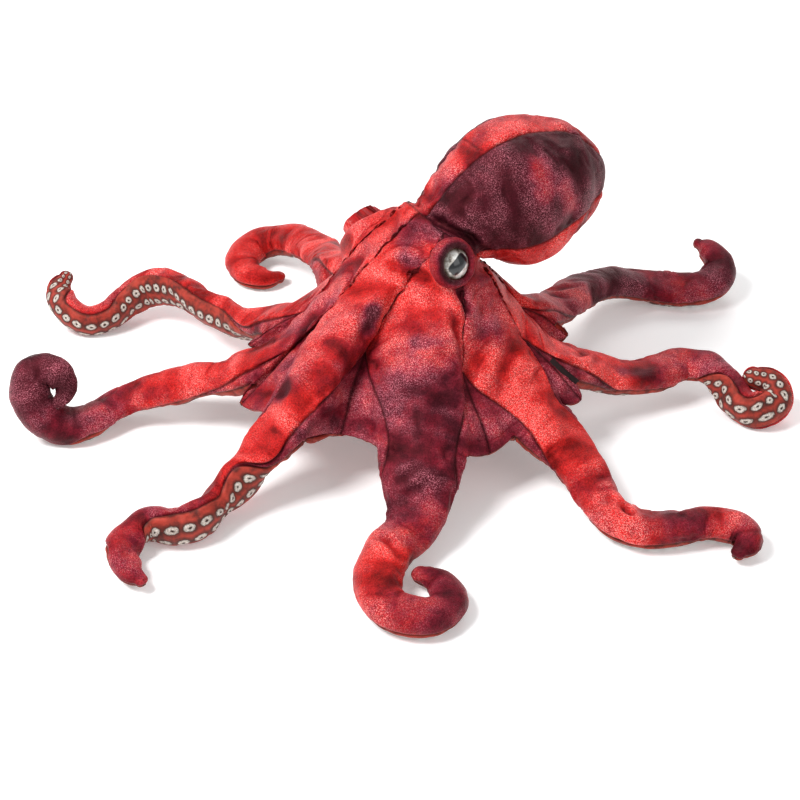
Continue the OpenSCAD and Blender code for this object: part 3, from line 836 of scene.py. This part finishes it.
# Patches of dye: a line, how far they reach from it, and how purple they are
BLOTS = (
    (((-28, -26, 200), (-12, -22, 208), (8, -26, 206), (26, -24, 202)), 13, 0.75),
    (((-12, -93, 126), (2, -96, 124)), 9, 0.75),
    (((-19, -43, 183), (-28, -40, 188)), 8, 0.8),
    (((-57, -79, 138), (-53, -72, 150)), 9, 0.85),
    (((-30, -118, 99), (6, -122, 103)), 12, 0.75),
    (((-26, -140, 86), (6, -150, 84)), 14, 0.7),
    (((-21, -198, 53), (-4, -196, 52)), 13, 0.85),
    (((22, -52, 168), (34, -69, 140)), 8, 0.6),
    (((39, -74, 130), (60, -60, 129)), 14, 0.5),
    (((-134, -118, 88), (-128, -84, 92)), 14, 0.7),
    (((-123, -54, 106), (-108, -44, 122)), 9, 0.5),
    (((-95, -33, 137), (-88, -30, 142)), 7, 0.6),
    (((207, -223, 28), (230, -225, 26)), 10, 0.65),
    (((176, -232, 21), (190, -226, 24)), 6, 0.5),
    (((205, 166, 41), (214, 174, 36)), 18, 0.95),
    (((224, -18, 37), (186, -25, 50)), 10, 0.6),
    (((258, 0, 40), (270, -4, 36)), 9, 0.45),
    (((186, 0, 60), (206, 2, 54)), 10, 0.1),
    (((136, 40, 256), (128, 10, 262), (140, 24, 240)), 17, 1.0),
    (((60, -21, 235), (84, -28, 226)), 22, 0.95),
    (((30, -10, 240), (44, -22, 215)), 22, 0.95),
    (((100, -16, 240), (96, -2, 262)), 12, 0.5),
    (((122, -8, 240), (128, -4, 222)), 12, 0.5),
)
# Where dark cloth shows between the fork and the hem
GUSSET_DYE = {1: 0.6, 2: 0.45, 3: 0.5, 4: 0.4, 5: 0.3, 6: 0.4, 7: 0.6, 8: 0.6}


def dyed(panel):
    dye = panel.dye.copy()
    ragged = ripple(panel.points, 18, 2.2)
    for line, reach, amount in BLOTS:
        away, _ = off_line(panel.points, line)
        mask = np.exp(-((away / reach + 0.35 * ragged) ** 2) ** 1.3)
        dye = dye * (1 - mask) + amount * mask
    return dye


SEAM_DEPTH = 1.6
SEAM_WIDTH = 2.2
# How high the bands of lustre stand, and how deep the thin pinched creases are
BAND_RISE = 1.5
PINCH_DEPTH = 0.9


# The seams are tucked fully only this far from a fork, where they are no longer side by side
THROAT = 60


def tuck(p):
    """How deep the seams are drawn in at each point. It depends on the place alone, so the two
    panels of a seam stay together."""
    near = np.min([np.linalg.norm(p - np.array(fork, float), axis=-1) for _, fork, _ in GAPS.values()], axis=0)
    return SEAM_DEPTH * smooth(near / THROAT)


# A web narrower than this from seam to seam is too tightly held to crumple fully
SLACK_WIDTH = 26


def drawn_straight(panel, moved):
    """The moves of a web's points, with its narrow rows made to follow their two seams."""
    rows = panel.corner[0] + 1
    web = moved[:rows]
    width = np.linalg.norm(np.diff(panel.points[:rows], axis=1), axis=2).sum(1)
    slack = smooth(width / SLACK_WIDTH)[:, None, None]
    across = np.linspace(0, 1, web.shape[1])[:, None]
    straight = web[:, :1] * (1 - across) + web[:, -1:] * across
    moved[:rows] = straight + (web - straight) * slack
    return moved


def detail(panel):
    """Moves the refined points by the seams' tuck, small crumples and the puffed suckers."""
    edge = panel.seam_distance()
    panel.edge = edge
    pressed = crease(panel)
    shift = pressed * smooth(edge / 3)
    shift -= tuck(panel.rest) * np.exp(-((edge / SEAM_WIDTH) ** 2))
    crumple = ripple(panel.points, 11, 3.7) * 0.35 + ripple(panel.points, 26, 8.1) * 1.2
    shift += crumple * smooth(edge / 7)
    # This value is high on ridges and bands of lustre and low in creases. It sets where the velour paints highlights
    # and shade.
    panel.ridge = 0.5 + pressed * 0.2 + crumple * 0.35
    if not panel.name.endswith("print"):
        panel.chart = band_chart(panel.rest)
        bands = ripple(np.dstack([panel.chart, np.full(edge.shape, 0.4)]), 1, 5.2)
        pinch = -np.exp(-((bands / 0.07) ** 2)) * smooth(ripple(panel.points, 40, 1.9) * 4)
        shift += (bands * BAND_RISE + pinch * PINCH_DEPTH) * smooth(edge / 9)
        panel.ridge += bands * 0.7 + pinch * 0.3
    panel.ridge = np.clip(panel.ridge, 0, 1)
    shift -= 1.2 * np.exp(-((edge - 7) ** 2) / 18) * np.maximum(ripple(panel.points, 9, 6.4), 0) * 1.5
    if not panel.name.endswith("print"):
        panel.dye = dyed(panel)
    elif panel.name.startswith("arm"):
        shift += 0.7 * np.exp(-((sucker_distance(panel.chart) / 0.08) ** 2))
    moved = panel.normals * shift[..., None]
    if panel.corner:
        moved = drawn_straight(panel, moved)
    panel.points = ground(socketed(panel.points + moved))


SUCKER_PITCH = 0.3
SUCKER_SIDE = 0.21


def sucker_distance(chart):
    """Distance to the nearest sucker's centre, as a share of the arm's width."""
    u, v = chart[..., 0], chart[..., 1]
    phase = v / SUCKER_PITCH + np.where(u > 0, 0.5, 0)
    return np.hypot(np.abs(u) - SUCKER_SIDE, (phase - np.floor(phase) - 0.5) * SUCKER_PITCH)


# ---- materials ----


class Nodes:
    """Short calls that add shader nodes to a new material."""

    def __init__(self, name):
        self.material = bpy.data.materials.new(name)
        self.material.use_nodes = True
        self.tree = self.material.node_tree
        self.shader = self.tree.nodes["Principled BSDF"]

    def add(self, kind, **sockets):
        node = self.tree.nodes.new(kind)
        for key, value in sockets.items():
            if key in node.inputs:
                self.plug(node.inputs[key], value)
            else:
                setattr(node, key, value)
        return node

    def plug(self, socket, value):
        if isinstance(value, bpy.types.NodeSocket):
            self.tree.links.new(value, socket)
        else:
            socket.default_value = value

    def math(self, operation, a, b=0.0, clamp=False):
        node = self.tree.nodes.new("ShaderNodeMath")
        node.operation = operation
        node.use_clamp = clamp
        self.plug(node.inputs[0], a)
        self.plug(node.inputs[1], b)
        return node.outputs[0]

    def attribute(self, name, output="Fac"):
        node = self.tree.nodes.new("ShaderNodeAttribute")
        node.attribute_name = name
        return node.outputs[output]

    def noise(self, vector, scale, detail=2.0, roughness=0.5):
        node = self.add("ShaderNodeTexNoise", Scale=scale, Detail=detail, Roughness=roughness)
        self.plug(node.inputs["Vector"], vector)
        return node.outputs["Fac"]

    def ramp(self, factor, stops):
        node = self.tree.nodes.new("ShaderNodeValToRGB")
        ramp = node.color_ramp
        while len(ramp.elements) < len(stops):
            ramp.elements.new(0.5)
        for element, (place, colour) in zip(ramp.elements, stops):
            element.position = place
            element.color = (*colour, 1)
        self.plug(node.inputs["Fac"], factor)
        return node.outputs["Color"]

    def mix(self, factor, a, b, blend="MIX"):
        node = self.tree.nodes.new("ShaderNodeMix")
        node.data_type = "RGBA"
        node.blend_type = blend
        self.plug(node.inputs[0], factor)
        self.plug(node.inputs[6], a if isinstance(a, bpy.types.NodeSocket) else (*a, 1))
        self.plug(node.inputs[7], b if isinstance(b, bpy.types.NodeSocket) else (*b, 1))
        return node.outputs[2]

    def bump(self, height, strength, distance, under=None):
        node = self.add("ShaderNodeBump", Strength=strength, Distance=distance, Height=height)
        if under is not None:
            self.plug(node.inputs["Normal"], under)
        return node.outputs["Normal"]


RED = (0.58, 0.016, 0.014)
CRIMSON = (0.34, 0.012, 0.018)
MAGENTA = (0.2, 0.012, 0.026)
PURPLE = (0.062, 0.007, 0.014)
NIGHT = (0.022, 0.004, 0.007)
# Colours of the painted highlights: pale glitter on the red velour and on the purple
HIGHLIGHT_RED = (0.98, 0.38, 0.34)
HIGHLIGHT_PURPLE = (0.6, 0.18, 0.23)


def cloth_shader(n, roughness, specular, sheen, tint):
    n.shader.inputs["Roughness"].default_value = roughness
    n.shader.inputs["Specular IOR Level"].default_value = specular
    n.shader.inputs["Specular Tint"].default_value = (*tint, 1)
    n.shader.inputs["Sheen Weight"].default_value = sheen
    n.shader.inputs["Sheen Roughness"].default_value = 0.3
    n.shader.inputs["Sheen Tint"].default_value = (*tint, 1)


def velour(name="velour"):
    """Crushed velour with a printed mottle of red and purple, pale glitter painted as highlights on its pile's bands
    and ridges, and painted shade in its folds.
    """
    n = Nodes(name)
    place = n.attribute("rest", "Vector")
    ridge = n.attribute("ridge")
    mottle = n.math("SUBTRACT", n.noise(place, 38, 3, 0.55), 0.5)
    patch = n.math("SUBTRACT", n.noise(place, 120, 2), 0.5)
    dye = n.math("ADD", n.attribute("dye"), n.math("MULTIPLY", mottle, 0.75))
    dye = n.math("ADD", dye, n.math("MULTIPLY", patch, 0.3), clamp=True)
    cloth = n.ramp(dye, ((0.12, RED), (0.36, CRIMSON), (0.55, MAGENTA), (0.76, PURPLE), (1, NIGHT)))
    # Pale colours of the painted glitter highlights
    highlight_colour = n.ramp(dye, ((0.3, HIGHLIGHT_RED), (0.7, HIGHLIGHT_PURPLE)))
    # Painted light: the pile lies one way or the other in bands, and the lustre of those bands and of the folds'
    # ridges is painted as highlight, their valleys as shade
    lustre_bands = n.noise(n.attribute("chart", "Vector"), 1.1, 3, 0.6)
    painted_lustre = n.math("ADD", n.math("MULTIPLY", n.noise(place, 34, 3, 0.6), 0.5), n.math("MULTIPLY", lustre_bands, 0.5))
    painted_lustre = n.math("ADD", painted_lustre, n.math("MULTIPLY", n.math("SUBTRACT", ridge, 0.5), 0.5))
    # Where the painted highlights fall
    painted_highlight = n.ramp(painted_lustre, ((0.42, (0.04,) * 3), (0.72, (1,) * 3)))
    grain = n.noise(place, 1250, 1, 0.7)
    # Fine specks of painted glitter highlight, strongest where the painted lustre is bright
    highlight_specks = n.ramp(grain, ((0.5, (0,) * 3), (0.66, (1,) * 3)))
    cloth = n.mix(n.math("MULTIPLY", n.math("MULTIPLY", highlight_specks, painted_highlight), 0.68), cloth, highlight_colour)
    # Painted shade darkens the valleys and painted highlight lifts the ridges
    painted_shade_and_highlight = n.ramp(painted_lustre, ((0.22, (0.28,) * 3), (0.45, (0.9,) * 3), (0.75, (1.35,) * 3)))
    cloth = n.mix(1.0, cloth, painted_shade_and_highlight, "MULTIPLY")
    shade = n.ramp(n.noise(place, 700, 2, 0.7), ((0.32, (0.45,) * 3), (0.6, (1.15,) * 3)))
    cloth = n.mix(1.0, cloth, shade, "MULTIPLY")
    seam_shade = n.ramp(n.math("MULTIPLY", n.attribute("edge"), 0.2), ((0.06, (0.25,) * 3), (0.45, (1,) * 3)))
    cloth = n.mix(1.0, cloth, seam_shade, "MULTIPLY")
    n.plug(n.shader.inputs["Base Color"], cloth)
    cloth_shader(n, 0.42, 0.3, 0.22, (1, 0.16, 0.19))
    low = n.bump(n.noise(place, 300, 2), 0.3, 0.001)
    n.plug(n.shader.inputs["Normal"], n.bump(grain, 0.7, 0.0007, low))
    return n.material


def sucker_print(name="sucker_print"):
    """Printed underside: two staggered rows of pale rings in dark haloes on a rusty ground."""
    n = Nodes(name)
    place = n.attribute("rest", "Vector")
    split = n.add("ShaderNodeSeparateXYZ", Vector=n.attribute("chart", "Vector"))
    u, v = split.outputs[0], split.outputs[1]
    phase = n.math("ADD", n.math("DIVIDE", v, SUCKER_PITCH), n.math("MULTIPLY", n.math("GREATER_THAN", u, 0.0), 0.5))
    down = n.math("MULTIPLY", n.math("SUBTRACT", n.math("FRACT", phase), 0.5), SUCKER_PITCH)
    across = n.math("SUBTRACT", n.math("ABSOLUTE", u), SUCKER_SIDE)
    squared = n.math("ADD", n.math("MULTIPLY", down, down), n.math("MULTIPLY", across, across))
    wobble = n.math("MULTIPLY", n.math("SUBTRACT", n.noise(place, 350, 1), 0.5), 0.05)
    away = n.math("ADD", n.math("SQRT", squared), wobble)
    rust = n.ramp(n.noise(place, 90, 4, 0.65), ((0.35, (0.1, 0.016, 0.014)), (0.5, (0.3, 0.03, 0.02)),
                                                (0.64, (0.42, 0.042, 0.028))))
    halo = n.ramp(away, ((0.1, (1,) * 3), (0.22, (0,) * 3)))
    tone = n.mix(halo, rust, (0.022, 0.011, 0.01))
    pale = n.ramp(away, ((0.02, (0,) * 3), (0.045, (1,) * 3), (0.085, (0.9,) * 3), (0.115, (0,) * 3)))
    ring = n.ramp(n.noise(place, 800, 2), ((0.35, (0.36, 0.3, 0.26)), (0.6, (0.66, 0.6, 0.54))))
    tone = n.mix(pale, tone, ring)
    seam_shade = n.ramp(n.math("MULTIPLY", n.attribute("edge"), 0.2), ((0.06, (0.3,) * 3), (0.45, (1,) * 3)))
    tone = n.mix(1.0, tone, seam_shade, "MULTIPLY")
    n.plug(n.shader.inputs["Base Color"], tone)
    cloth_shader(n, 0.6, 0.35, 0.1, (1, 0.7, 0.6))
    n.plug(n.shader.inputs["Normal"], n.bump(n.noise(place, 1400, 2), 0.4, 0.0004))
    return n.material


def eye_material():
    """A clear dome over a silver iris with a black bar for a pupil."""
    n = Nodes("eye")
    split = n.add("ShaderNodeSeparateXYZ", Vector=n.attribute("chart", "Vector"))
    x, y = split.outputs[0], split.outputs[1]
    place = n.attribute("chart", "Vector")
    radius = n.math("SQRT", n.math("ADD", n.math("MULTIPLY", x, x), n.math("MULTIPLY", y, y)))
    swirl = n.noise(place, 2.2, 3, 0.6)
    silver = n.ramp(swirl, ((0.34, (0.12, 0.1, 0.085)), (0.44, (0.5, 0.46, 0.4)), (0.56, (0.86, 0.86, 0.82))))
    rim = n.ramp(radius, ((0.8, (1,) * 3), (0.93, (0.32, 0.2, 0.12)), (1, (0.02,) * 3)))
    iris = n.mix(1.0, silver, rim, "MULTIPLY")
    bar = n.math("ADD", n.math("POWER", n.math("ABSOLUTE", n.math("DIVIDE", x, 0.43)), 4.0),
                 n.math("POWER", n.math("ABSOLUTE", n.math("DIVIDE", y, 0.74)), 4.0))
    pupil = n.ramp(bar, ((0.75, (1,) * 3), (1, (0,) * 3)))
    n.plug(n.shader.inputs["Base Color"], n.mix(pupil, iris, (0.004, 0.006, 0.008)))
    n.shader.inputs["Metallic"].default_value = 0.25
    n.shader.inputs["Roughness"].default_value = 0.3
    n.shader.inputs["Coat Weight"].default_value = 1
    n.shader.inputs["Coat Roughness"].default_value = 0.03
    return n.material


def woven(name, colour, scale):
    """A close weave: two crossed bands of threads."""
    n = Nodes(name)
    place = n.add("ShaderNodeTexCoord").outputs["Object"]
    split = n.add("ShaderNodeSeparateXYZ", Vector=place)
    warp = n.math("SINE", n.math("MULTIPLY", n.math("ADD", split.outputs[0], split.outputs[2]), scale))
    weft = n.math("SINE", n.math("MULTIPLY", n.math("SUBTRACT", split.outputs[1], split.outputs[2]), scale))
    threads = n.math("ADD", n.math("MULTIPLY", n.math("MULTIPLY", warp, weft), 0.5), 0.5)
    fuzz = n.noise(place, 900, 2)
    tone = n.mix(n.math("MULTIPLY", threads, fuzz), tuple(c * 0.5 for c in colour), tuple(c * 1.7 for c in colour))
    n.plug(n.shader.inputs["Base Color"], tone)
    n.shader.inputs["Roughness"].default_value = 0.8
    n.plug(n.shader.inputs["Normal"], n.bump(threads, 0.5, 0.0004))
    return n.material


def moulded(name, colour):
    n = Nodes(name)
    fuzz = n.noise(n.add("ShaderNodeTexCoord").outputs["Object"], 700, 2)
    n.plug(n.shader.inputs["Base Color"], n.mix(fuzz, tuple(c * 0.85 for c in colour), colour))
    n.shader.inputs["Roughness"].default_value = 0.45
    n.plug(n.shader.inputs["Normal"], n.bump(fuzz, 0.2, 0.0002))
    return n.material


VELOUR = velour()
PRINT = sucker_print()
EYE = eye_material()
TAB_TAPE = woven("woven_tab", (0.016, 0.004, 0.004), 5200)
LINING = woven("lining", (0.09, 0.008, 0.014), 3600)
ELASTIC = woven("elastic", (0.03, 0.012, 0.014), 2600)
WASHER = moulded("washer_plastic", (0.75, 0.75, 0.72))

# ---- pieces ----


def add_mesh(name, points, faces, material):
    mesh = bpy.data.meshes.new(name)
    mesh.from_pydata((points * MM).tolist(), [], faces)
    mesh.materials.append(material)
    mesh.shade_smooth()
    obj = bpy.data.objects.new(name, mesh)
    bpy.context.collection.objects.link(obj)
    return obj


def store(obj, name, kind, values):
    attribute = obj.data.attributes.new(name, kind, "POINT")
    key = "value" if kind == "FLOAT" else "vector"
    attribute.data.foreach_set(key, np.ascontiguousarray(values, np.float32).ravel())


def piece(panel, name, rows, material):
    """A mesh of the given rows of the panel, with what its material reads stored on it."""
    start, end = rows
    cut = slice(start, end + 1)
    points = panel.points[cut]
    part = Panel(name, points, hole=panel.hole[start:end])
    part.flip = getattr(panel, "flip", False)
    first, index = merged(points)
    faces = tidy_faces(cells(part, index))
    used = np.unique(np.concatenate([np.array(f) for f in faces]))
    renumber = np.full(len(first), -1)
    renumber[used] = np.arange(len(used))
    first = first[used]
    faces = [[int(renumber[v]) for v in f] for f in faces]
    obj = add_mesh(name, points.reshape(-1, 3)[first], faces, material)
    store(obj, "rest", "FLOAT_VECTOR", panel.rest[cut].reshape(-1, 3)[first] * MM)
    store(obj, "dye", "FLOAT", panel.dye[cut].reshape(-1)[first])
    store(obj, "edge", "FLOAT", panel.edge[cut].reshape(-1)[first])
    store(obj, "ridge", "FLOAT", panel.ridge[cut].reshape(-1)[first])
    if panel.chart is not None:
        chart = panel.chart[cut].reshape(-1, 2)[first]
        store(obj, "chart", "FLOAT_VECTOR", np.column_stack([chart, np.zeros(len(chart))]))
    return obj


arm_strips, gussets = {}, []
for i in arms:
    arm_strips[i] = arm_panels(i)
    for side in (1, -1):
        gussets.append((i, half_gusset(i, side)))
base = base_panel()
mantle = mantle_panels()
velour_strips = [top for top, _ in arm_strips.values()]
everything = velour_strips + [u for _, u in arm_strips.values()] + [g for _, g in gussets] + [base] + mantle

for _, panel in gussets:
    panel.cut = flat_cut(panel.points[: panel.corner[0] + 1])
base.cut = cloth_area(base.points)
for panel in velour_strips + [g for _, g in gussets]:
    panel.points = swollen(panel.points)
for panel in everything:
    panel.points = ground(panel.points + lumps(panel.points, 46, 1.3) * 1.8)
inflate(everything)
for panel in everything:
    panel.refine()
    panel.rest = panel.points.copy()
shared_normals(everything)
for panel in everything:
    detail(panel)

for i, arm in arms.items():
    for panel, kind, slot, material, taken in (
        (arm_strips[i][0], "velour", "red_velour", VELOUR, ("top",)),
        (arm_strips[i][1], "print", "sucker_print", PRINT, ("underside", "stuffing")),
    ):
        first = panel.first_row
        inner_end, elbow_end = 2 * (first + arm.cut_in), 2 * (first + arm.cut_out)
        last = len(panel.points) - 1
        inner = piece(panel, f"arm_{i}_{kind}", (0, inner_end), material)
        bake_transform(inner)
        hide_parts(*[f"arm_{i}_{k}" for k in taken])
        elbow = piece(panel, f"elbow_{i}_{kind}", (inner_end, elbow_end), material)
        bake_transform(elbow)
        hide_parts(*[f"tip_{i}_{k}" for k in taken])
        end = piece(panel, f"tip_{i}_{kind}", (elbow_end, last), material)
        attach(end, f"tip_{i}")
for i, panel in gussets:
    hem = panel.corner[0]
    web_part = piece(panel, panel.name, (0, hem), VELOUR)
    tail = piece(panel, panel.name + "_tail", (hem, len(panel.points) - 1), VELOUR)
    for made in (web_part, tail):
        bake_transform(made)
        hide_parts("web_gussets", "hood_gores")
floor_piece = piece(base, base.name, (0, len(base.points) - 1), PRINT)
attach(floor_piece, "root")
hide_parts("base_panel")
for panel in mantle:
    made = piece(panel, panel.name, (0, len(panel.points) - 1), VELOUR)
    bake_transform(made)
    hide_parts("mantle_side_panels" if "side" in panel.name else "mantle_gores", "mantle_stuffing")

# ---- lining, elastic and tab ----


def plain_piece(name, points, material, node):
    """A piece from a grid of points that has no dye or seams of its own."""
    panel = Panel(name, points, seams=(0, 0, 0, 0))
    panel.rest = points.copy()
    panel.edge = np.full(points.shape[:2], 9.0)
    panel.ridge = np.full(points.shape[:2], 0.5)
    obj = piece(panel, name, (0, len(points) - 1), material)
    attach(obj, "root")
    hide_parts(node)
    return obj


def ring_points(radius, height, turns):
    """Points round the origin's upright axis: rows of turns, columns of radius and height."""
    turns = turns[:, None]
    return np.stack([radius * np.cos(turns), radius * np.sin(turns), height + 0 * radius], 2)


def pocket_lining():
    """The hand pocket's lining, slack and wrinkled, from the opening up into the head."""
    floor = PANEL_Z + PANEL_T
    profile = [(OPENING_R - 1.5, 0), (OPENING_R - 3, POCKET_H * 0.6), (OPENING_R - 15, POCKET_H - 6),
               (OPENING_R / 2, POCKET_H - 3), (0.1, POCKET_H - 2)]
    rows = spline(profile, np.linspace(0, len(profile) - 1, 60))[0]
    turns = np.radians(np.linspace(0, 360, 145))
    radius, height = np.broadcast_to(rows[:, 0], (145, 60)), floor + rows[:, 1]
    points = ring_points(radius, height, turns)
    wrinkle = 1 - 0.035 * (1 + ripple(points * [1, 1, 0.35], 9, 4.4)) * smooth(rows[:, 0] / 20)
    points[..., :2] *= wrinkle[..., None]
    obj = plain_piece("pocket_lining", points, LINING, "hand_pocket")


def gathered_elastic():
    """The channel of elastic round the hand opening."""
    turns = np.radians(np.linspace(0, 360, 289))
    tube = np.radians(np.linspace(0, 360, 17))
    gather = 1 + 0.3 * np.sin(turns * 44 + 2 * np.sin(turns * 5))[:, None]
    radius = OPENING_R + ELASTIC_T / 2 + (ELASTIC_T / 2 + 0.3) * np.cos(tube) * gather
    height = PANEL_Z + (np.sin(tube) - 1) * ELASTIC_W / 2
    points = ring_points(radius, height, turns)
    obj = plain_piece("opening_elastic_channel", points, ELASTIC, "opening_elastic")


# How far the tab stands out of the hem's gathers
TAB_PROUD = 2


def folded_tab():
    """A tape folded in two, its cut ends sewn into the hem."""
    place, long, wide, turn, pitch = TAB
    turn, pitch = math.radians(turn), math.radians(pitch)
    ahead = np.array([math.cos(turn) * math.cos(pitch), math.sin(turn) * math.cos(pitch), -math.sin(pitch)])
    out = np.array([math.sin(turn), -math.cos(turn), 0])
    over = np.cross(ahead, out)
    layer = 0.7
    s = np.linspace(-1, 1, 61)
    along = (1 - np.abs(s) ** 1.04) * long - long / 2
    off = np.tanh(s * 9) * layer + 1.5 * np.sin(np.pi * (1 - np.abs(s)))
    across = np.linspace(-0.5, 0.5, 9) * wide
    middle = np.array(place, float) + along[:, None] * ahead + (off[:, None] + TAB_PROUD) * out
    points = middle[:, None] + across[None, :, None] * over
    obj = plain_piece("folded_tab", points, TAB_TAPE, "side_tab")


pocket_lining()
gathered_elastic()
folded_tab()
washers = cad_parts["eye_washers"]
washers.data.materials.clear()
washers.data.materials.append(WASHER)

# ---- eyes ----

# The pupil's tilt, and the side on which each lid is broadest, as turns round the eye's face
PUPIL_TILT = {"right": math.radians(-58), "left": math.radians(40)}
LID_TURN = {"right": math.radians(150), "left": math.radians(30)}


def eye_dome(name):
    """The dome on its centre, with its own flat chart for the iris."""
    place, axis, level_way, up_way = eye_frame(name)
    ball = (EYE_D**2 / 4 + EYE_RISE**2) / (2 * EYE_RISE)
    rings = [EYE_D / 2 * math.sin(k * math.pi / 2 / 14) for k in range(15)]
    turns = np.radians(np.arange(0, 360, 7.5))
    flat = np.array([[(r * math.cos(a), r * math.sin(a)) for a in turns] for r in rings[1:]])
    flat = np.vstack([[[0, 0]], flat.reshape(-1, 2)])
    height = np.sqrt(ball**2 - (flat**2).sum(1)) - (ball - EYE_RISE)
    skirt = flat[-len(turns):]
    flat, height = np.vstack([flat, skirt]), np.concatenate([height, np.full(len(skirt), -2.0)])
    points = place + flat[:, :1] * level_way + flat[:, 1:] * up_way + height[:, None] * axis
    count = len(turns)
    faces = [[0, 1 + k, 1 + (k + 1) % count] for k in range(count)]
    for ring in range(len(rings) - 1):
        a = 1 + ring * count
        faces += [[a + k, a + count + k, a + count + (k + 1) % count, a + (k + 1) % count] for k in range(count)]
    return points, faces, flat / (EYE_D / 2)


def eyes():
    """Both domes as one piece."""
    points, faces, charts = [], [], []
    for name in EYES:
        p, f, chart = eye_dome(name)
        tilt = PUPIL_TILT[name]
        turned = chart @ np.array([[math.cos(tilt), -math.sin(tilt)], [math.sin(tilt), math.cos(tilt)]])
        faces += [[v + sum(map(len, points)) for v in face] for face in f]
        points.append(p)
        charts.append(turned)
    charts = np.vstack(charts)
    obj = add_mesh("eye_domes", np.vstack(points), faces, EYE)
    store(obj, "chart", "FLOAT_VECTOR", np.column_stack([charts, np.zeros(len(charts))]))
    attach(obj, "root")
    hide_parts("eyes")


def eyelid(name):
    """A stuffed roll of velour round the eye: broad behind it, narrow in front."""
    place, axis, level_way, up_way = eye_frame(name)
    turns = np.radians(np.linspace(0, 360, 97))
    round_tube = np.radians(np.linspace(0, 360, 21))
    behind = 0.5 + 0.5 * np.cos(turns - LID_TURN[name])
    wide = 3.2 + 3.4 * behind**1.5
    high = 4.2 + 2.6 * behind
    ring = EYE_D / 2 - 0.6 + wide
    across = ring[:, None] + wide[:, None] * np.cos(round_tube)
    up = 1.2 + high[:, None] * np.sin(round_tube)
    pucker = 1 + 0.03 * np.sin(turns * 13 + 2 * np.sin(turns * 3))[:, None]
    across = ring[:, None] + (across - ring[:, None]) * pucker
    points = (place + (across * np.cos(turns)[:, None])[..., None] * level_way
              + (across * np.sin(turns)[:, None])[..., None] * up_way + (up * pucker)[..., None] * axis)
    inner = smooth((ring[:, None] - across) / wide[:, None] + 0.7)
    panel = Panel(f"eyelid_{name}", points, 0.4 + 0.6 * inner * behind[:, None] ** 0.7, (0, 0, 0, 0))
    panel.rest = points.copy()
    panel.edge = np.full(points.shape[:2], 9.0)
    # Lower on the broad inner side of the lid, so that the velour paints shade there and less glitter highlight
    panel.ridge = np.broadcast_to(0.55 - 0.35 * inner * behind[:, None], across.shape)
    panel.chart = band_chart(points)
    obj = piece(panel, panel.name, (0, len(points) - 1), VELOUR)
    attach(obj, "root")
    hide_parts("eyelids")


eyes()
for name in EYES:
    eyelid(name)

# ---- stage ----

CAMERA_AIM = Vector((-0.03, 0, 0))
CAMERA_AWAY = 1.56
CAMERA_RISE = math.radians(35)


def stage():
    world = bpy.data.worlds.new("studio")
    world.use_nodes = True
    world.node_tree.nodes["Background"].inputs["Color"].default_value = (1, 1, 1, 1)
    world.node_tree.nodes["Background"].inputs["Strength"].default_value = 0.42
    bpy.context.scene.world = world
    bpy.context.scene.view_settings.view_transform = "Standard"
    mesh = bpy.data.meshes.new("floor")
    mesh.from_pydata([(-6, -6, 0), (6, -6, 0), (6, 6, 0), (-6, 6, 0)], [], [(0, 1, 2, 3)])
    floor = bpy.data.objects.new("floor", mesh)
    bpy.context.collection.objects.link(floor)
    n = Nodes("pale_floor")
    n.shader.inputs["Base Color"].default_value = (0.93, 0.93, 0.93, 1)
    n.shader.inputs["Roughness"].default_value = 0.9
    n.shader.inputs["Specular IOR Level"].default_value = 0.1
    n.shader.inputs["Emission Color"].default_value = (1, 1, 1, 1)
    n.shader.inputs["Emission Strength"].default_value = 0.22
    mesh.materials.append(n.material)
    for name, place, size, power in (
        ("key", (-1.1, -0.5, 1.7), 0.7, 43), ("fill", (1.4, -1.2, 1.2), 1.4, 8), ("rim", (0.5, 1.5, 1.5), 1.0, 12),
    ):
        lamp = bpy.data.lights.new(name, "AREA")
        lamp.size = size
        lamp.energy = power
        obj = bpy.data.objects.new(name, lamp)
        obj.location = place
        obj.rotation_euler = (Vector((0, 0, 0.05)) - Vector(place)).to_track_quat("-Z", "Y").to_euler()
        bpy.context.collection.objects.link(obj)
    lens = bpy.data.cameras.new("camera")
    lens.sensor_width = 36
    lens.lens = 70.2
    camera = bpy.data.objects.new("camera", lens)
    camera.location = CAMERA_AIM + CAMERA_AWAY * Vector((0, -math.cos(CAMERA_RISE), math.sin(CAMERA_RISE)))
    camera.rotation_euler = (math.radians(90) - CAMERA_RISE, 0, 0)
    bpy.context.collection.objects.link(camera)
    bpy.context.scene.camera = camera


stage()
